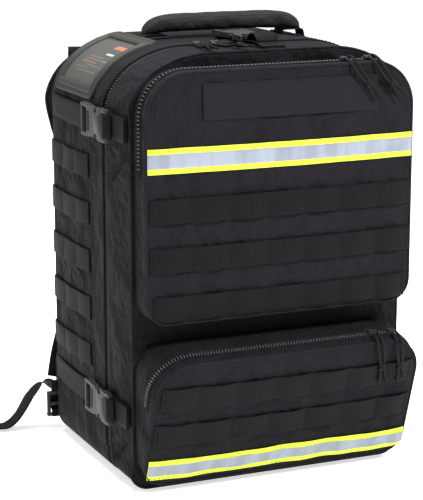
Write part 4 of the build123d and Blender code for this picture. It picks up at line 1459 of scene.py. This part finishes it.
for side, word in ((-1, "left"), (1, "right")):
    rings, spots, ways = strap_rings(side, 90)
    strap = fair_normals(loft("strap_pad_" + word, rings))
    body = "strap_" + word
    place(strap, body, FABRIC, "fabric_black", "shoulder_strap_" + word)
    lanes = []
    for index, (spot, way) in enumerate(zip(spots, ways)):
        if 8 < index < 87:
            normal = Vector((way.y, -way.x, 0))
            outwards = normal.x if index > ARCH_END else normal.y
            if outwards < 0:
                normal = -normal
            at = spot + normal * 7.2 * MM
            lanes.append(strap_spot(side, at.x, at.y, 0.0))
    across = Vector((math.cos(SPLAY), 0, side * math.sin(SPLAY)))
    flat = ribbon("strap_lane_" + word, lanes, [Vector((1, 0, 0))] * len(lanes), WEB, 1.4 * MM)
    place(flat, body, WEB_Z, "webbing_black")
    spots = [web_spot(side, spot.x, spot.y, 0.0) for spot in route([(y, up, 0) for y, up in WEB_ROUTE], 40)]
    lower = ribbon("strap_web_" + word, spots, [across] * 40, WEB, 1.4 * MM)
    place(lower, body, WEB_Z, "webbing_black", "strap_webbing_" + word)
    for edge, mark in ((0, "outer"), (18, "inner")):
        run = [ring[edge] for ring in rings[4:87]]
        place(tube("strap_binding_" + word + "_" + mark, run, 2.2 * MM), body, FLAP, "fabric_black")

tabs = []
for side in (-1, 1):
    outer = [(118.4, 114), (129, 96), (139, 77), (139.3, 65), (139, 54), (129, 49), (118.4, 46.5),
             (118.4, 80)]
    inner = [(124, 93), (126, 94), (128.6, 92), (128.6, 84), (126.5, 82), (125, 82), (124, 84), (124, 88)]
    rings = [[Vector((side * (153.4 + lift) * MM, y * MM, z * MM)) for y, z in ring]
             for ring, lift in ((outer, 0), (outer, 2.0), (inner, 2.0), (inner, 0), (outer, 0))]
    tabs.append(bevel(fair_normals(loft("tab", rings, False)), 0.4 * MM))
place(join("lock_tabs", tabs), "pack", WEB_Z, "webbing_black", "anchor_tabs")

LOCK_X = 154
locks = []
for side in (-1, 1):
    x = side * LOCK_X
    bars = [((x - 17, 124.2, 14), (x - 13, 128.0, 44)), ((x + 13, 124.2, 14), (x + 17, 128.0, 44)),
            ((x - 17, 124.0, 40), (x + 17, 128.2, 44)), ((x - 14, 124.4, 26.6), (x + 14, 128.4, 31.2)),
            ((x - 17, 124.0, 14), (x + 17, 129.6, 17.6))]
    shapes = scale_shapes([(box2(low[0], high[0], low[1], high[1]), low[2], high[2]) for low, high in bars])
    locks.append(slabs("lock", shapes, Matrix.Identity(4), 0.9 * MM, 3))
place(join("lock_frames", locks), "pack", PLASTIC, "plastic_black", "ladder_locks")
threaded = []
for side in (-1, 1):
    way = ((121.5, 58), (123.2, 47), (127.0, 38), (130.0, 31), (128.0, 25), (123.6, 21.4), (121.6, 14))
    spots = route([(side * LOCK_X, y, z) for y, z in way], 40)
    threaded.append(ribbon("threaded", spots, [Vector((1, 0, 0))] * 40, 24.5 * MM, 1.3 * MM))
place(join("lock_webbing", threaded), "pack", WEB_X, "webbing_black")

tails = []
for side in (-1, 1):
    way = ((154, 130.2, 30), (159, 134, 46), (171, 139, 51.5), (186, 140.5, 38), (202, 140.5, 14.5),
           (215, 141, 4.2), (228, 141, 3.4))
    spots = route([(side * x, y, z) for x, y, z in way], 50)
    sides = []
    for step in range(50):
        turn = 0.75 * math.sin(math.pi * min(1.0, step / 36)) * side
        sides.append(Vector((math.sin(turn) * 0.5, math.cos(turn), math.sin(turn) * 0.6)))
    tails.append(ribbon("tail", spots, sides, 22 * MM, 1.3 * MM))
place(join("tail_webbing", tails), "pack", WEB_X, "webbing_black", "strap_tails")

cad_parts["frame_sheet"].data.materials.clear()
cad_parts["frame_sheet"].data.materials.append(SHEET)


# ------------------------------ sliders and their pull cords
SLIDER = [(-5, -2.4), (-3, -4), (1.5, -4), (5, -2.2), (5, 2.2), (1.5, 4), (-3, 4), (-5, 2.4)]
SLIDER_SHAPES = scale_shapes([(SLIDER, 0.2, 1.5), (SLIDER, 2.3, 3.7), (box2(1.0, 4.2, -1.4, 1.4), 1.4, 2.6),
                              (box2(-4.2, 4.2, -1.1, 1.1), 4.0, 5.0), (box2(-4.2, -3.0, -1.1, 1.1), 3.4, 4.6),
                              (box2(3.0, 4.2, -1.1, 1.1), 3.4, 4.6)])
STEPS = ((0.0, 2.4), (11.0, 2.6), (24.0, 3.4), (36.0, 1.8), (48.0, 2.2), (60.0, 4.6))
CORD_DIAMETER = 2.8 * MM


def knot(name, middle, along, across):
    """A small overhand knot, three turns of cord drawn tight."""
    out = along.cross(across).normalized()
    spots = []
    for step in range(72):
        t = 2 * math.pi * step / 72
        spots.append(middle + (across * (math.sin(t) + 1.6 * math.sin(2 * t)) * 1.35
                               + along * (math.cos(t) - 1.6 * math.cos(2 * t)) * 1.5
                               - out * math.sin(3 * t) * 1.45) * MM)
    return tube(name, spots, 1.6 * MM, True)


def spline_length(bends):
    """The length of the quadratic spline through the middles of its control line's legs."""
    joints = [bends[0], *[(a + b) / 2 for a, b in zip(bends[1:-2], bends[2:-1])], bends[-1]]
    total = 0.0
    for first, bend, second in zip(joints, bends[1:-1], joints[1:]):
        shares = [step / 12 for step in range(13)]
        run = [first * (1 - t) ** 2 + bend * 2 * t * (1 - t) + second * t * t for t in shares]
        total += sum((b - a).length for a, b in zip(run, run[1:]))
    return total


def pull(name, body, spot_of):
    """The two strands of a pull, through their route, and the knot that joins them."""
    middle = spot_of(41.0, 0.0)
    along = (spot_of(44.0, 0.0) - middle).normalized()
    across = (spot_of(41.0, 1.0) - middle).normalized()
    tied = place(knot("knot_" + name, middle, along, across), body, CORD, "cord_black", "pull_cord_" + name)
    for side, word in ((-1, "near"), (1, "far")):
        curve = bpy.data.curves.new("cord_" + name + "_" + word, "CURVE")
        curve.dimensions = "3D"
        curve.bevel_depth = CORD_DIAMETER / 2
        curve.bevel_resolution = 3
        curve.resolution_u = 10
        curve.use_fill_caps = True
        bends = [spot_of(far, side * out) for far, out in STEPS]
        spline = curve.splines.new("NURBS")
        spline.points.add(len(bends) - 1)
        for point, spot in zip(spline.points, bends):
            point.co = (*spot, 1.0)
        spline.order_u = 3
        spline.use_endpoint_u = True
        strand = bpy.data.objects.new("cord_" + name + "_" + word, curve)
        bpy.context.scene.collection.objects.link(strand)
        place(strand, body, CORD, "cord_black")
        length = spline_length(bends)
        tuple(bends[0])


def lid_pull(face, x, up, out, lean):
    """As the frame places it: from the lid's top edge, over it and down its face."""
    angle = math.radians(lean)
    along = (math.sin(angle), -math.cos(angle))
    across = (math.cos(angle), math.sin(angle))

    def spot_of(far, aside):
        sx, su = x + aside * across[0], up + aside * across[1]
        if far < 5.0:
            rise, depth, down = 4.6, -10.5, 0.0
        elif far < 15.0:
            rise, depth, down = 5.0, 1.5, 0.0
        else:
            rise, depth, down = 0.0, 6.3, far - 12.0
        sx += rise * out[0] + down * along[0]
        su += rise * out[1] + down * along[1]
        return face.at(sx * MM, su * MM, depth * MM)

    return spot_of


def top_pull(x, lean):
    """A cord pull on one of the main zipper's sliders, leaning by an angle."""
    angle = math.radians(lean)

    def spot_of(far, aside):
        forward = 5.8 + far * math.cos(angle) - aside * math.sin(angle)
        lift = 1.7 if far < 30.0 else 4.6
        across = x + far * math.sin(angle) + aside * math.cos(angle)
        return Vector((across, SEAM_Y / MM - forward, TOP / MM + lift)) * MM

    return spot_of


for pocket, left_x, turn, lean in ((pocket_a, 77.0, 0.0, 40.0), (pocket_b, 100.0, 14.0, 12.0)):
    flat = Face(pocket.face.origin, B_LEAN if pocket.key == "b" else 0.0)
    width, height = pocket.width / MM, pocket.height / MM
    radius = (RADIUS_A if pocket.key == "a" else RADIUS_B) / MM
    tilt = math.radians(turn)
    way = (math.sin(tilt), math.cos(tilt))
    right = (width / 2 - radius + radius * way[0], height - radius + radius * way[1])
    for word, spot, out in (("left", (left_x, height), (0.0, 1.0)), ("right", right, way)):
        rise = Vector((out[0], 0, 0)) + flat.up * out[1]
        run = Vector((out[1], 0, 0)) - flat.up * out[0]
        matrix = buckle_matrix(flat.at(spot[0] * MM, spot[1] * MM, -16.8 * MM), run, rise)
        name = pocket.key + "_" + word
        place(slabs("slider_body_" + name, SLIDER_SHAPES, matrix, 0.3 * MM), "slider_" + name, METAL,
              "slider_metal", "slider_" + name)
        pull(name, "slider_" + name, lid_pull(flat, spot[0], spot[1], out, lean))
for x, lean, word in ((-58.0, -8.0, "left"), (-38.0, 14.0, "right")):
    matrix = buckle_matrix(Vector((x * MM, SEAM_Y, TOP)), Vector((1, 0, 0)), Vector((0, 0, 1)))
    name = "main_" + word
    place(slabs("slider_body_" + name, SLIDER_SHAPES, matrix, 0.3 * MM), "slider_" + name, METAL,
          "slider_metal", "slider_" + name)
    pull(name, "slider_" + name, top_pull(x, lean))


# ------------------------------ floor, light and camera
FLOOR = Nodes("floor_paper")
grain = FLOOR.noise(4.0)
FLOOR.link(FLOOR.mix(grain.outputs["Fac"], (0.90, 0.90, 0.90), (0.93, 0.93, 0.93)),
           FLOOR.shader.inputs["Base Color"])
FLOOR.set(Roughness=0.9, Specular_IOR_Level=0.1, Emission_Strength=0.64)
FLOOR.shader.inputs["Emission Color"].default_value = (1.0, 1.0, 1.0, 1.0)
REACH = 30.0
floor_corners = [Vector((x, y, -0.0005)) for y in (-REACH, REACH) for x in (-REACH, REACH)]
floor = make_object("floor", floor_corners, grid_faces(2, 2))
floor.data.materials.append(FLOOR.material)


def lamp(name, spot, aim, size, power):
    """A round area lamp aimed at a point."""
    light = bpy.data.lights.new(name, "AREA")
    light.shape = "DISK"
    light.size = size
    light.energy = power
    thing = bpy.data.objects.new(name, light)
    bpy.context.scene.collection.objects.link(thing)
    thing.location = spot
    thing.rotation_euler = (Vector(aim) - Vector(spot)).to_track_quat("-Z", "Y").to_euler()
    return thing


lamp("key", (1.1, -1.8, 2.2), (0, 0, 0.25), 0.6, 84)
lamp("fill", (-2.4, -0.9, 1.5), (0, 0, 0.25), 1.0, 3)
lamp("top", (-0.3, 0.3, 2.3), (0, 0, 0.3), 0.9, 66)
world = bpy.data.worlds.new("studio")
bpy.context.scene.world = world
world.use_nodes = True
world.node_tree.nodes["Background"].inputs["Color"].default_value = (1.0, 1.0, 1.0, 1.0)
world.node_tree.nodes["Background"].inputs["Strength"].default_value = 0.4

camera_data = bpy.data.cameras.new("camera")
camera_data.sensor_width = 36
camera_data.lens = 132.24
camera = bpy.data.objects.new("camera", camera_data)
bpy.context.scene.collection.objects.link(camera)
turn, rise = math.radians(-23.8), math.radians(12.6)
aim = Vector((-0.0257, -0.020, 0.230))
camera.location = aim + 2.029 * Vector((math.sin(turn) * math.cos(rise), -math.cos(turn) * math.cos(rise),
                                        math.sin(rise)))
camera.rotation_euler = (aim - camera.location).to_track_quat("-Z", "Y").to_euler()
bpy.context.scene.camera = camera
bpy.context.scene.view_settings.view_transform = "Standard"
